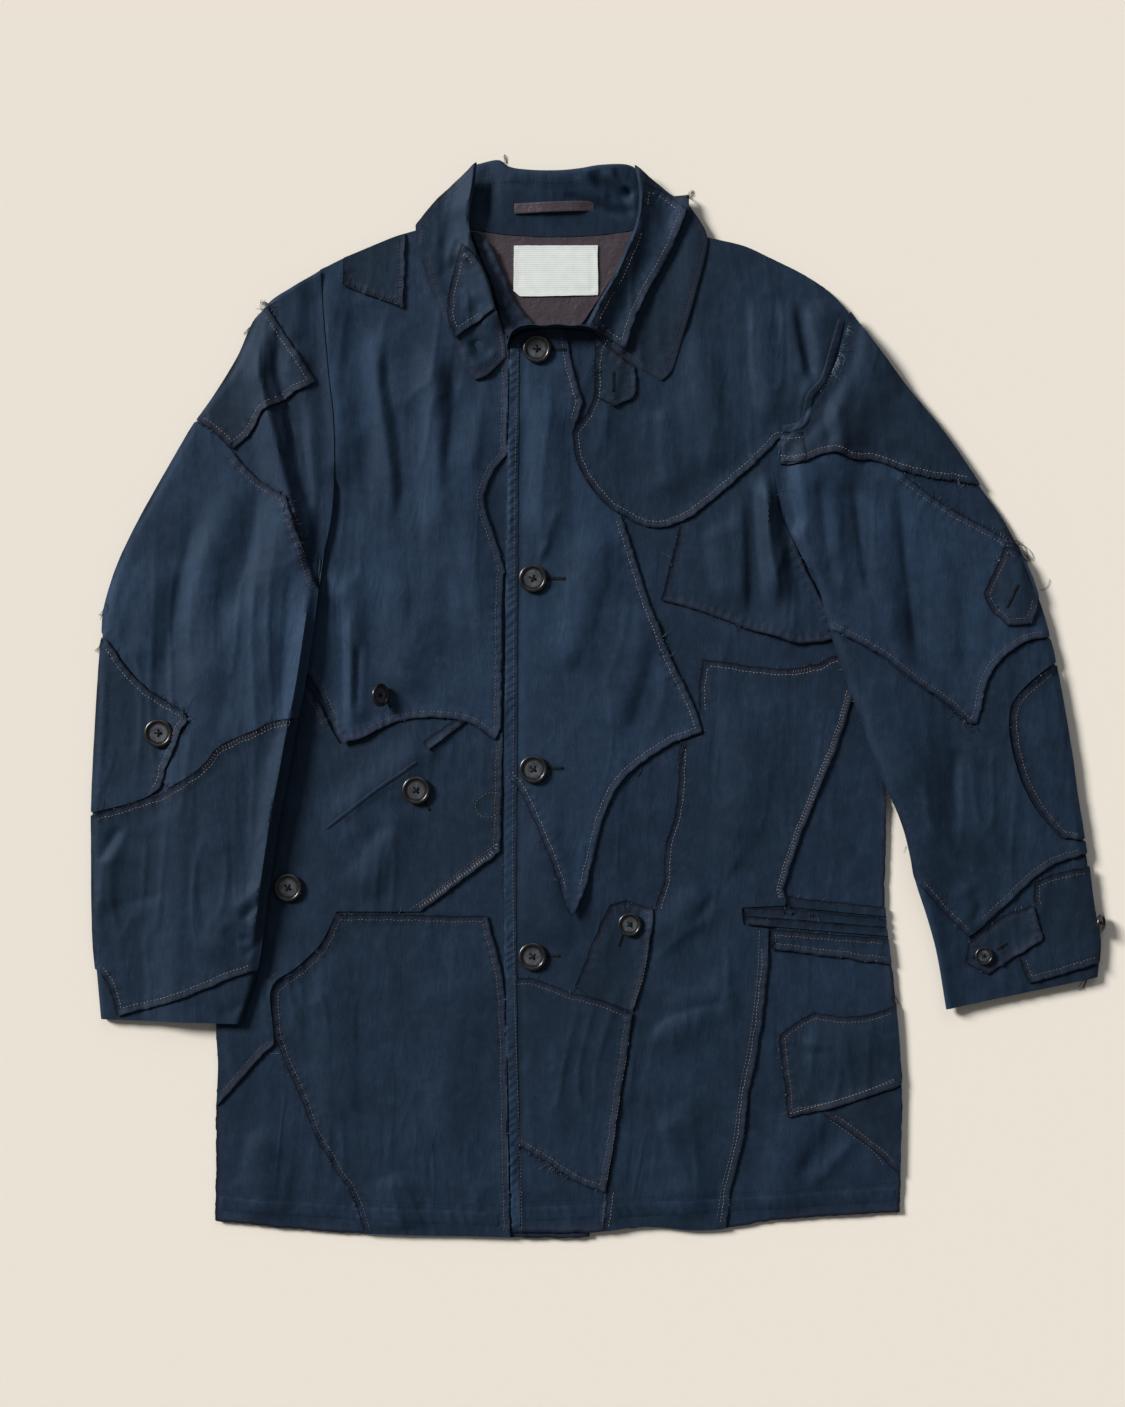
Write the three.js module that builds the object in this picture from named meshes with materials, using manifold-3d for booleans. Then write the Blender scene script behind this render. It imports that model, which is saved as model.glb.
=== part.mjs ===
// A three-quarter coat in navy cotton, patched all over with overlapping cut pieces, laid flat on its back.
// Millimetres, +Z up, +Y towards the collar. The origin is below the middle of the coat, on the surface it lies on.
// Outlines are drafted on a pattern grid of GRID_MM squares, with x to the right and y downwards.
import * as THREE from 'three';
import Module from 'manifold-3d';

const wasm = await Module();
wasm.setup();

// Driving dimensions
const COAT_LENGTH = 904.7; // from the top of the collar to the hem
const GRID_TOP = 160;
const GRID_HEM = 1237;
const GRID_MM = COAT_LENGTH / (GRID_HEM - GRID_TOP);
const GRID_CENTRE = [598, 699.5];
const CLOTH = 1.4; // a body or sleeve wall
const PATCH = 1.0; // a patch cut from the same cloth
const TRIM = 0.8; // loop, label and tab
const GAP = 0.3; // between two pieces that touch
const LATTICE_X = 20;
const LATTICE_Y = 36;
const CURVE_STEP = 19; // along a curved cut edge
const FLAT_ENOUGH = 0.04; // facets this close to one plane are joined
const SLEEVE_LOFT = 5.2; // a flattened sleeve, from underside to top
const SLEEVE_EDGE = 6; // width of its rounded fold
const SLEEVE_RINGS = 20;
const SLEEVE_COLUMNS = 12;
const BUTTON_FRONT_R = 11.9;
const BUTTON_SMALL_R = 9.9;
const BUTTON_CUFF_R = 7.6;
const BUTTON_THICK = 3.4;

const BACK_TOP = CLOTH;
const FRONT_TOP = BACK_TOP + GAP + CLOTH; // the under front, where no fold lifts it
const OVERLAP = CLOTH + GAP; // how far the upper front steps over the under one
const PATCH_STEP = GAP + PATCH;
const SLEEVE_OVER_BODY = FRONT_TOP + PATCH_STEP + 0.6;
const COLLAR_OVER_BODY = FRONT_TOP + PATCH_STEP + GAP;

const at = ([gx, gy]) => new THREE.Vector2((gx - GRID_CENTRE[0]) * GRID_MM, (GRID_CENTRE[1] - gy) * GRID_MM);
const smoothstep = (low, high, value) => {
  const t = Math.min(1, Math.max(0, (value - low) / (high - low)));
  return t * t * (3 - 2 * t);
};

// A cut edge is a list of strokes. A stroke of two grid points is straight, a longer one is a smooth curve.
function curveThrough(stroke, step = CURVE_STEP) {
  const points = stroke.map(at);
  if (points.length === 2) return points;
  const curve = new THREE.CatmullRomCurve3(points.map((p) => new THREE.Vector3(p.x, p.y, 0)), false, 'centripetal');
  const count = Math.max(2, Math.round(curve.getLength() / step));
  return curve.getPoints(count).map((p) => new THREE.Vector2(p.x, p.y));
}

function outline(...strokes) {
  const points = [];
  for (const stroke of strokes) {
    for (const p of curveThrough(stroke)) {
      if (points.every((q) => q.distanceTo(p) > 0.4)) points.push(p);
    }
  }
  return points;
}

function corners(...gridPoints) {
  return gridPoints.map(at);
}

// The soft folds that lift the fronts: grid points along the crest, its rise and half width in millimetres.
const BODY_FOLDS = [
  { crest: [[329, 262], [331, 330], [338, 400], [339, 455], [334, 500]], rise: 5, half: 15 },
  { crest: [[384, 318], [392, 400], [404, 520]], rise: 3.4, half: 17 },
  { crest: [[428, 330], [436, 430], [438, 560]], rise: 4.2, half: 16 },
  { crest: [[473, 395], [468, 520], [480, 660]], rise: 3.6, half: 17 },
  { crest: [[347, 560], [352, 640], [349, 745]], rise: 4.6, half: 15 },
  { crest: [[405, 560], [410, 650], [398, 705]], rise: 2.8, half: 18 },
  { crest: [[545, 380], [548, 470], [541, 560]], rise: 3.2, half: 17 },
  { crest: [[598, 520], [590, 600], [560, 690]], rise: 4.2, half: 18 },
  { crest: [[650, 600], [632, 670], [612, 740]], rise: 3.4, half: 16 },
  { crest: [[655, 400], [664, 450], [668, 505]], rise: 3.4, half: 16 },
  { crest: [[700, 330], [706, 400], [716, 480]], rise: 3.8, half: 16 },
  { crest: [[756, 300], [764, 370], [768, 430]], rise: 3.4, half: 16 },
  { crest: [[818, 296], [822, 345], [806, 395], [786, 425]], rise: 4.2, half: 15 },
  { crest: [[716, 520], [724, 570], [728, 612]], rise: 3.4, half: 16 },
  { crest: [[757, 470], [772, 540], [790, 625]], rise: 4.6, half: 15 },
  { crest: [[430, 735], [380, 790], [330, 830]], rise: 3.8, half: 16 },
  { crest: [[400, 800], [388, 850], [352, 900]], rise: 3, half: 16 },
  { crest: [[545, 800], [552, 870], [566, 950]], rise: 3.4, half: 16 },
  { crest: [[740, 690], [746, 780], [716, 880]], rise: 2.6, half: 20 },
  { crest: [[716, 888], [672, 922], [640, 945]], rise: 3.2, half: 16 },
  { crest: [[742, 985], [692, 1010], [652, 1050]], rise: 3.6, half: 17 },
  { crest: [[660, 1105], [674, 1160], [700, 1222]], rise: 4.4, half: 18 },
  { crest: [[330, 940], [336, 1040], [352, 1130]], rise: 2.6, half: 20 },
  { crest: [[438, 960], [446, 1060], [440, 1160]], rise: 2.4, half: 22 },
  { crest: [[262, 1120], [264, 1180], [268, 1224]], rise: 3.6, half: 17 },
  { crest: [[395, 1170], [400, 1205], [402, 1232]], rise: 2.8, half: 18 },
  { crest: [[812, 1100], [790, 1160], [776, 1220]], rise: 3.8, half: 18 },
  { crest: [[800, 1040], [846, 1048], [884, 1056]], rise: 2.6, half: 17 },
].map((fold) => ({ ...fold, crest: curveThrough(fold.crest, 30) }));

const COLLAR_FOLDS = [
  { crest: [[478, 170], [472, 210], [476, 250], [489, 285], [499, 312]], rise: 6.5, half: 13 },
  { crest: [[634, 168], [638, 205], [627, 248], [610, 285], [592, 322]], rise: 6.5, half: 13 },
  { crest: [[450, 330], [468, 362], [490, 372]], rise: 3.5, half: 12 },
  { crest: [[690, 215], [694, 260], [684, 320]], rise: 2, half: 12 },
].map((fold) => ({ ...fold, crest: curveThrough(fold.crest, 14) }));

function foldLift(folds, x, y, openEnds = false) {
  let lift = 0;
  for (const { crest, rise, half } of folds) {
    const segments = crest.length - 1;
    let best = { distance: Infinity, along: 0 };
    for (let i = 0; i < segments; i += 1) {
      const a = crest[i];
      const b = crest[i + 1];
      const dx = b.x - a.x;
      const dy = b.y - a.y;
      const t = Math.min(1, Math.max(0, ((x - a.x) * dx + (y - a.y) * dy) / (dx * dx + dy * dy)));
      const distance = Math.hypot(x - a.x - t * dx, y - a.y - t * dy);
      if (distance < best.distance) best = { distance, along: (i + t) / segments };
    }
    const ends = openEnds ? 1 : smoothstep(0, 0.22, best.along) * smoothstep(0, 0.22, 1 - best.along);
    lift = Math.max(lift, 0) + rise * Math.exp(-((best.distance / half) ** 2)) * ends;
  }
  return lift;
}

// The fronts' lift is read on a coarse lattice, so that every sheet laid on them has the same facets.
const latticeOrigin = at([190, 1250]);
const latticeLift = new Map();
function liftAtKnot(i, j) {
  const key = `${i},${j}`;
  if (!latticeLift.has(key)) {
    const x = latticeOrigin.x + i * LATTICE_X;
    const y = latticeOrigin.y + j * LATTICE_Y;
    const lift = foldLift(BODY_FOLDS, x, y);
    latticeLift.set(key, lift < 0.25 ? 0 : Math.min(lift, 6.5));
  }
  return latticeLift.get(key);
}

function bodyLift(x, y) {
  const u = (x - latticeOrigin.x) / LATTICE_X;
  const v = (y - latticeOrigin.y) / LATTICE_Y;
  const i = Math.floor(u + 1e-9);
  const j = Math.floor(v + 1e-9);
  const fx = u - i;
  const fy = v - j;
  const near = liftAtKnot(i, j);
  const far = liftAtKnot(i + 1, j + 1);
  if (fx > fy) {
    const side = liftAtKnot(i + 1, j);
    return near + (side - near) * fx + (far - side) * fy;
  }
  const side = liftAtKnot(i, j + 1);
  return near + (far - side) * fx + (side - near) * fy;
}

// A wall between two grids of points that have the same rows and columns.
function wall(outer, inner, closedAcross = false) {
  const rows = outer.length;
  const columns = outer[0].length;
  const points = [...outer.flat(), ...inner.flat()];
  const first = (i, j) => i * columns + (j % columns);
  const second = (i, j) => rows * columns + first(i, j);
  const triangles = [];
  const quad = (a, b, c, d) => triangles.push([a, b, c], [a, c, d]);
  const last = closedAcross ? columns : columns - 1;
  for (let i = 0; i < rows - 1; i += 1) {
    for (let j = 0; j < last; j += 1) {
      quad(first(i, j), first(i, j + 1), first(i + 1, j + 1), first(i + 1, j));
      quad(second(i, j), second(i + 1, j), second(i + 1, j + 1), second(i, j + 1));
    }
  }
  for (let j = 0; j < last; j += 1) {
    quad(first(0, j), second(0, j), second(0, j + 1), first(0, j + 1));
    quad(first(rows - 1, j), first(rows - 1, j + 1), second(rows - 1, j + 1), second(rows - 1, j));
  }
  if (!closedAcross) {
    for (let i = 0; i < rows - 1; i += 1) {
      quad(first(i, 0), first(i + 1, 0), second(i + 1, 0), second(i, 0));
      const e = columns - 1;
      quad(first(i, e), second(i, e), second(i + 1, e), first(i + 1, e));
    }
  }
  return solidFrom(points, triangles);
}

function solidFrom(points, triangles) {
  const build = (faces) => new wasm.Manifold(new wasm.Mesh({
    numProp: 3,
    vertProperties: new Float32Array(points.flatMap((p) => [p.x, p.y, p.z])),
    triVerts: new Uint32Array(faces.flat()),
  }));
  const solid = build(triangles);
  return solid.volume() > 0 ? solid : build(triangles.map(([a, b, c]) => [a, c, b]));
}

// The upright block whose plan is a cut edge.
function prism(cutEdge, low = -5, high = 60) {
  const edge = cutEdge.filter((p, k) => {
    const before = cutEdge.at(k - 1);
    const after = cutEdge[(k + 1) % cutEdge.length];
    return Math.abs((p.x - before.x) * (after.y - p.y) - (p.y - before.y) * (after.x - p.x)) > 1e-3;
  });
  const n = edge.length;
  const caps = THREE.ShapeUtils.triangulateShape(edge, []);
  const points = [low, high].flatMap((z) => edge.map((p) => new THREE.Vector3(p.x, p.y, z)));
  const clockwise = THREE.ShapeUtils.isClockWise(edge);
  const triangles = [];
  for (const [a, b, c] of caps) {
    const [p, q, r] = THREE.ShapeUtils.isClockWise([edge[a], edge[b], edge[c]]) ? [a, c, b] : [a, b, c];
    triangles.push([p, r, q], [p + n, q + n, r + n]);
  }
  for (let i = 0; i < n; i += 1) {
    const j = (i + 1) % n;
    const [a, b] = clockwise ? [j, i] : [i, j];
    triangles.push([a, b, b + n], [a, b + n, a + n]);
  }
  return solidFrom(points, triangles);
}

// A sheet that follows the fronts: z0 is its underside where nothing lifts it, extra is a lift of its own.
function bodySheet(edge, { z0, thick, finer = 1, extra = () => 0, within = [] }) {
  const xs = edge.map((p) => p.x);
  const ys = edge.map((p) => p.y);
  const sx = LATTICE_X / finer;
  const sy = LATTICE_Y / finer;
  const i0 = Math.floor((Math.min(...xs) - latticeOrigin.x) / sx - 0.01);
  const i1 = Math.ceil((Math.max(...xs) - latticeOrigin.x) / sx + 0.01);
  const j0 = Math.floor((Math.min(...ys) - latticeOrigin.y) / sy - 0.01);
  const j1 = Math.ceil((Math.max(...ys) - latticeOrigin.y) / sy + 0.01);
  const row = (offset) => {
    const grid = [];
    for (let i = i0; i <= i1; i += 1) {
      const line = [];
      for (let j = j0; j <= j1; j += 1) {
        const x = latticeOrigin.x + i * sx;
        const y = latticeOrigin.y + j * sy;
        line.push(new THREE.Vector3(x, y, z0 + offset + bodyLift(x, y) + extra(x, y)));
      }
      grid.push(line);
    }
    return grid;
  };
  const slab = wall(row(thick), row(0));
  return [edge, ...within].reduce((solid, e) => solid.intersect(prism(e)), slab);
}

// Seams shared by the body and the sleeves, from the shoulder to the underarm
const ARMHOLE_RIGHT = [[320, 272], [323, 318], [328, 375], [333, 420], [334, 465], [331, 518], [322, 560]];
const ARMHOLE_LEFT = [[848, 314], [840, 350], [829, 382], [815, 404], [800, 426], [781, 444], [776, 478], [784, 519]];

const columnShares = (width) => {
  const edge = SLEEVE_EDGE / width;
  const inside = SLEEVE_COLUMNS - 2;
  const shares = Array.from({ length: inside + 1 }, (_, k) => edge + ((1 - 2 * edge) * k) / inside);
  return [0, ...shares, 1];
};

function samplesAlong(gridPoints, shares) {
  const points = gridPoints.map(at).map((p) => new THREE.Vector3(p.x, p.y, 0));
  const curve = new THREE.CatmullRomCurve3(points, false, 'centripetal');
  return shares.map((s) => curve.getPointAt(s)).map((p) => new THREE.Vector2(p.x, p.y));
}

const armholeLength = (gridPoints) => at(gridPoints[0]).distanceTo(at(gridPoints.at(-1)));
const armholeRight = samplesAlong(ARMHOLE_RIGHT, columnShares(armholeLength(ARMHOLE_RIGHT)));
const armholeLeft = samplesAlong(ARMHOLE_LEFT, columnShares(armholeLength(ARMHOLE_LEFT)));

// Body panels. Right and left are the wearer's, so the right front is on the left of the plan.
const SIDE_RIGHT = [[216, 1220], [217, 1140], [217, 1105], [219, 1069], [217, 1023], [221, 900], [227, 800], [236, 700]];
const SIDE_LEFT = [[899, 1211], [900, 1146], [901, 1081], [895, 1000], [888, 940], [884, 905], [885, 790], [879, 712]];
const UNDERARM_RIGHT = [[236, 700], [262, 664], [288, 634], [308, 600], [322, 560]];
const UNDERARM_LEFT = [[879, 712], [862, 672], [836, 622], [820, 582], [801, 547], [784, 519]];
const HEM_RIGHT = [[590, 1236], [553, 1237], [480, 1235], [412, 1234], [318, 1230], [271, 1225], [216, 1220]];
const HEM_LEFT = [[899, 1211], [858, 1213], [815, 1216], [760, 1221], [720, 1228], [690, 1229], [650, 1225], [600, 1230], [512, 1231]];
const SHOULDER_RIGHT = [[320, 272], [343, 260], [408, 234], [456, 224]];
const SHOULDER_LEFT = [[848, 314], [824, 289], [775, 262], [740, 246], [707, 239], [662, 227]];
const NECKLINE_RIGHT = [[456, 224], [470, 262], [487, 300], [512, 333], [552, 336], [590, 336]];
const NECKLINE_LEFT = [[662, 227], [650, 252], [626, 290], [602, 318], [586, 331]];
const PLACKET_EDGE = [[510, 347], [506, 640], [504, 760], [504, 900], [507, 1020], [512, 1231]];

function panelEdge(...parts) {
  const points = [];
  for (const part of parts) {
    for (const p of part) {
      if (points.every((q) => q.distanceTo(p) > 0.2)) points.push(p);
    }
  }
  return points;
}

const rightFrontEdge = panelEdge(
  curveThrough(SHOULDER_RIGHT.slice(0, 2)), curveThrough(SHOULDER_RIGHT.slice(1)), curveThrough(NECKLINE_RIGHT),
  curveThrough([[590, 336], [590, 1236]]), curveThrough(HEM_RIGHT, 40), curveThrough(SIDE_RIGHT, 40),
  curveThrough(UNDERARM_RIGHT, 25), [...armholeRight].reverse(),
);
const leftFrontEdge = panelEdge(
  armholeLeft, [...curveThrough(UNDERARM_LEFT, 25)].reverse(), [...curveThrough(SIDE_LEFT, 40)].reverse(),
  curveThrough(HEM_LEFT, 40), [...curveThrough(PLACKET_EDGE, 60)].reverse(),
  curveThrough([[510, 347], [516, 337], [530, 331], [552, 329], [586, 331]], 14),
  [...curveThrough(NECKLINE_LEFT)].reverse(), [...curveThrough(SHOULDER_LEFT, 25)].reverse(),
);
const BACK_NECK = [[662, 226], [645, 226], [610, 231], [557, 234], [505, 231], [470, 226], [456, 223]];
const backEdge = panelEdge(
  curveThrough(BACK_NECK), [...curveThrough(SHOULDER_RIGHT)].reverse(), armholeRight,
  [...curveThrough(UNDERARM_RIGHT, 25)].reverse(), [...curveThrough(SIDE_RIGHT, 40)].reverse(),
  curveThrough([[218, 1214], [400, 1227], [590, 1229], [720, 1222], [897, 1206]], 60), curveThrough(SIDE_LEFT, 40),
  curveThrough(UNDERARM_LEFT, 25), [...armholeLeft].reverse(), curveThrough(SHOULDER_LEFT, 25),
);

// The upper front steps over the under front, and comes down beside its edge.
const overlapStep = (x) => OVERLAP * (1 - smoothstep(at([597, 0]).x, at([640, 0]).x, x));
const onUpperFront = (x) => overlapStep(x);

const cloth = { color: 0x1b2836, roughness: 0.86, metalness: 0 };
const patchCloth = { color: 0x202d3b, roughness: 0.86, metalness: 0 };
const liningCloth = { color: 0x3d363f, roughness: 0.7, metalness: 0 };
const labelCloth = { color: 0xd5dad8, roughness: 0.8, metalness: 0 };
const buttonHorn = { color: 0x17181c, roughness: 0.3, metalness: 0 };

const coat = new THREE.Group();
const solids = new Map();

function addPiece(name, rough, finish) {
  const solid = rough.simplify(FLAT_ENOUGH);
  const { vertProperties, triVerts, numProp } = solid.getMesh();
  const geometry = new THREE.BufferGeometry();
  const positions = new Float32Array((vertProperties.length / numProp) * 3);
  for (let i = 0; i < positions.length / 3; i += 1) {
    positions.set(vertProperties.subarray(i * numProp, i * numProp + 3), i * 3);
  }
  geometry.setAttribute('position', new THREE.BufferAttribute(positions, 3));
  geometry.setIndex(new THREE.BufferAttribute(new Uint32Array(triVerts), 1));
  geometry.computeVertexNormals();
  const mesh = new THREE.Mesh(geometry, new THREE.MeshStandardMaterial({ ...finish, side: THREE.DoubleSide }));
  mesh.name = name;
  coat.add(mesh);
  solids.set(name, mesh);
}

// Back and fronts
const backShape = prism(backEdge, 0, BACK_TOP);
addPiece('back', backShape, cloth);
addPiece('front_right', bodySheet(rightFrontEdge, { z0: BACK_TOP + GAP, thick: CLOTH }), cloth);
addPiece('front_left', bodySheet(leftFrontEdge, { z0: BACK_TOP + GAP, thick: CLOTH, extra: onUpperFront }), cloth);

// Patches on the right front
const cornerFlap = ({ place, rise, reach }) => {
  const tip = at(place);
  return (x, y) => rise * Math.exp(-(((x - tip.x) ** 2 + (y - tip.y) ** 2) / reach ** 2));
};
const rightPatch = (edge, level = 1, extra = () => 0, finer = 1) => bodySheet(edge, {
  z0: FRONT_TOP + GAP + (level - 1) * PATCH_STEP, thick: PATCH, extra, finer, within: [rightFrontEdge],
});
const chestPanelRight = outline(
  [[300, 240], [455, 215]], [[455, 215], [476, 262], [494, 300], [506, 333]], [[506, 333], [508.6, 350], [507, 455]],
  [[507, 455], [496, 469], [487, 485], [484, 502], [487, 516], [494, 533], [500, 555], [505, 572]],
  [[503, 575], [501, 727]], [[501, 728], [494, 738]], [[494, 738], [486, 732], [475, 724], [459, 718.6], [441, 716.5],
    [422, 716.5], [402, 718.6], [384, 726], [366, 735]], [[366, 735], [343, 742]], [[343, 742], [331, 718], [319, 690],
    [300, 660]], [[300, 660], [300, 560]],
);
addPiece('chest_panel_right', rightPatch(chestPanelRight, 1,
  cornerFlap({ place: [346, 738], rise: 2.4, reach: 26 })), patchCloth);
addPiece('shoulder_patch_right', rightPatch(corners([343.5, 250], [406, 220], [403.5, 309.5], [343.5, 287]), 2), patchCloth);
const waistPanelRight = outline(
  [[298, 668], [317, 697], [329, 724], [341, 744.5]], [[341, 744.5], [366, 737.5]],
  [[366, 737.5], [385, 728.5], [402, 721], [422, 719], [441, 719], [459, 721], [475, 726], [486, 734.5]],
  [[486, 734.5], [494, 741]], [[494, 741], [503, 732]], [[503, 734], [500, 849]], [[500, 851], [421, 911]],
  [[421, 911], [337, 911]],
  [[337, 911], [322, 942], [308, 957], [294, 969], [276, 981]], [[276, 981], [271, 992], [273, 1020], [275, 1043]],
  [[275, 1043], [258, 1059], [238, 1083], [210, 1112]], [[210, 1112], [210, 780]], [[210, 780], [240, 690]],
);
addPiece('waist_panel_right', rightPatch(waistPanelRight), patchCloth);
addPiece('slant_welt_right', rightPatch(corners([423, 741], [455, 719.8], [466, 722], [429, 750]), 2), patchCloth);
const skirtPanelRight = outline(
  [[337.5, 914], [487, 915]], [[487, 915], [492, 935], [498, 955], [502.5, 975], [505, 1003]], [[505, 1003], [510.4, 1245]],
  [[510.4, 1245], [368, 1245]], [[368, 1245], [353, 1194], [341, 1177], [327, 1153], [313, 1130], [304, 1104], [294, 1080],
    [279, 1045]], [[279, 1045], [275.5, 1020], [274, 992], [279, 984]],
  [[279, 984], [296, 972], [310, 960], [324, 944], [337.5, 914]],
);
addPiece('skirt_panel_right', rightPatch(skirtPanelRight), patchCloth);

// Patches on the left front
const leftPatch = (edge, level = 1, extra = () => 0, finer = 1) => bodySheet(edge, {
  z0: FRONT_TOP + GAP + (level - 1) * PATCH_STEP, thick: PATCH, finer, within: [leftFrontEdge],
  extra: (x, y) => onUpperFront(x) + extra(x, y),
});
const scoop = [[573, 435], [576, 456], [584, 475], [596, 492], [610, 507], [621, 514], [639, 524.5], [659, 528],
  [680, 522], [693, 514], [712, 499], [734, 480], [753, 463], [778, 439]];
const shifted = (gridPoints, dx, dy) => gridPoints.map(([x, y]) => [x + dx, y + dy]);
const yokePanelLeft = outline(
  [[592, 401], [573, 435]], scoop, [[778, 439], [900, 436]], [[900, 436], [900, 250]], [[900, 250], [680, 215]],
  [[655, 232], [640, 270], [610, 325], [596, 352]], [[596, 352], [592, 401]],
);
addPiece('yoke_panel_left', leftPatch(yokePanelLeft), patchCloth);
const underScoop = shifted(scoop, -0.5, 2.2);
const centreTongueLeft = outline(
  [[509, 345], [520, 336], [549, 330], [566, 331]], [[566, 331], [570, 356], [576, 383], [583, 404]],
  [[583, 404], [571.5, 435]], underScoop.slice(0, 6),
  [[621, 516.5], [630, 543], [639, 572], [649, 603.6], [659, 628], [671, 659], [683, 684], [690, 698]],
  [[690, 698], [701, 731]], [[701, 731], [678, 740], [655, 752.5], [634.5, 768.6], [618.4, 784.6], [607, 805],
    [600, 828], [593, 856], [586, 883], [577, 906]], [[577, 906], [571, 915.5]], [[571, 915.5], [563, 899], [556, 874],
    [545, 846.6], [533.5, 819], [519, 790]], [[519, 790], [495, 760]], [[495, 760], [500, 347]],
);
addPiece('centre_tongue_left', leftPatch(centreTongueLeft, 1,
  cornerFlap({ place: [573, 905], rise: 3, reach: 24 })), patchCloth);
const chestFlapLeft = outline(
  [[680, 524.4], [693, 516.4], [712, 501.4], [734, 482.4], [753, 465.4], [778, 441.4]], [[778, 441.4], [790, 500]],
  [[790, 500], [784, 519]], [[784, 519], [806, 572], [833, 622], [842, 638]],
  [[842, 638], [826, 640], [799, 644], [775, 636.6], [750, 630.5], [716, 616.7], [661, 600]], [[661, 600], [680, 524.4]],
);
addPiece('chest_flap_left', leftPatch(chestFlapLeft, 1,
  cornerFlap({ place: [780, 640], rise: 2.2, reach: 26 })), patchCloth);
const sidePanelLeft = outline(
  [[702, 660], [719, 661], [745, 665], [772, 668.7], [811, 665.7], [833, 656]], [[833, 656], [860, 656]],
  [[860, 656], [850, 702], [834.6, 749], [815, 796], [796, 846], [782, 889]], [[782, 889], [785, 896]],
  [[785, 896], [785, 905]], [[785, 905], [741, 907]], [[741, 907], [743, 924]], [[743, 924], [768, 928]],
  [[768, 928], [766.5, 971], [757, 1049], [749, 1087], [741, 1146], [731, 1185], [724, 1240]], [[724, 1240], [600, 1245]],
  [[600, 1245], [608.5, 1183], [614, 1146.6], [621, 1098], [629, 1050], [636, 1001], [644.5, 973], [651, 938.4],
    [654, 911], [663, 881], [665, 847], [674.5, 814.5], [678, 778], [679.5, 742]], [[679.5, 742], [704, 734.5]],
  [[704, 734.5], [700.5, 722]], [[700.5, 722], [698, 693], [702, 660]],
);
addPiece('side_panel_left', leftPatch(sidePanelLeft), patchCloth);
const buttonPatchLeft = outline(
  [[598, 928], [610, 904]], [[610, 904], [618, 899], [632, 901], [652, 908]],
  [[652, 908], [649, 938], [642.5, 973], [634, 1001], [631.5, 1010]],
  [[631.5, 1010], [606, 1000], [582, 992], [575, 985]], [[575, 985], [598, 928]],
);
addPiece('button_patch_left', leftPatch(buttonPatchLeft), patchCloth);
const lowerCentrePanelLeft = outline(
  [[500, 977], [541, 979], [562, 989], [582, 994], [606, 1002], [631, 1012.5]],
  [[631, 1012.5], [626, 1050], [618.5, 1098], [611.5, 1146.6], [604, 1190]],
  [[604, 1190], [577, 1180.5], [553, 1166], [528, 1149], [500, 1136]], [[500, 1136], [500, 977]],
);
addPiece('lower_centre_panel_left', leftPatch(lowerCentrePanelLeft), patchCloth);
addPiece('pocket_band_upper', leftPatch(corners([786.5, 896], [910, 909], [910, 918.5], [786.5, 906])), patchCloth);
addPiece('pocket_welt_upper', leftPatch(corners([744.5, 908.5], [786, 909], [910, 921.5], [910, 928], [744.5, 915])), patchCloth);
addPiece('pocket_welt_lower', leftPatch(corners([744.5, 916.5], [910, 929.5], [910, 937.5], [772, 925.5], [744.5, 922])), patchCloth);
addPiece('pocket_band_lower', leftPatch(corners([770.5, 929.5], [910, 940], [910, 966], [770, 948])), patchCloth);
const hipPatchLeft = outline(
  [[778, 1035], [796, 1021]], [[796, 1021], [813, 1011.6]], [[813, 1011.6], [835, 1014], [858, 1015.5], [895, 1004]],
  [[895, 1004], [915, 1000]], [[915, 1000], [915, 1078]], [[915, 1078], [858, 1097], [819, 1109], [787, 1115.5]],
  [[787, 1115.5], [778, 1035]],
);
addPiece('hip_patch_left', leftPatch(hipPatchLeft), patchCloth);
const cornerPatchLeft = outline(
  [[821, 1111.5], [858, 1100], [915, 1081]], [[915, 1081], [915, 1186]], [[915, 1186], [897, 1173], [873.5, 1149.7],
    [846, 1130], [821, 1111.5]],
);
addPiece('corner_patch_left', leftPatch(cornerPatchLeft), patchCloth);

// Sleeves: flattened tubes, open at the armhole and the cuff. Each starts on its armhole seam.
const SLEEVE_RIGHT = {
  armhole: ARMHOLE_RIGHT,
  outerEdge: [[320, 272], [293, 289], [266, 308], [232, 374], [197, 424], [153, 501], [126, 552], [108, 603], [103, 650],
    [98, 730], [94, 817], [95, 880], [95, 925], [98, 967], [102.5, 1018]],
  innerEdge: [[322, 560], [319, 596], [313, 643], [307, 682], [296, 739], [289, 779], [281, 820], [272, 880], [264, 940],
    [258, 975], [243, 1022]],
  folds: [
    { crest: [[292, 310], [279, 380], [286, 462]], rise: 2.8, half: 15 },
    { crest: [[303, 420], [311, 500], [314, 575]], rise: 3.2, half: 12 },
    { crest: [[233, 480], [214, 560], [196, 660]], rise: 3, half: 15 },
    { crest: [[168, 560], [150, 620], [142, 672]], rise: 2.4, half: 15 },
    { crest: [[272, 600], [266, 680], [262, 760]], rise: 2.2, half: 16 },
    { crest: [[118, 840], [108, 880], [102, 915]], rise: 2, half: 13 },
    { crest: [[252, 880], [234, 925], [205, 958]], rise: 2.4, half: 14 },
  ],
  side: -1,
};
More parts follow.
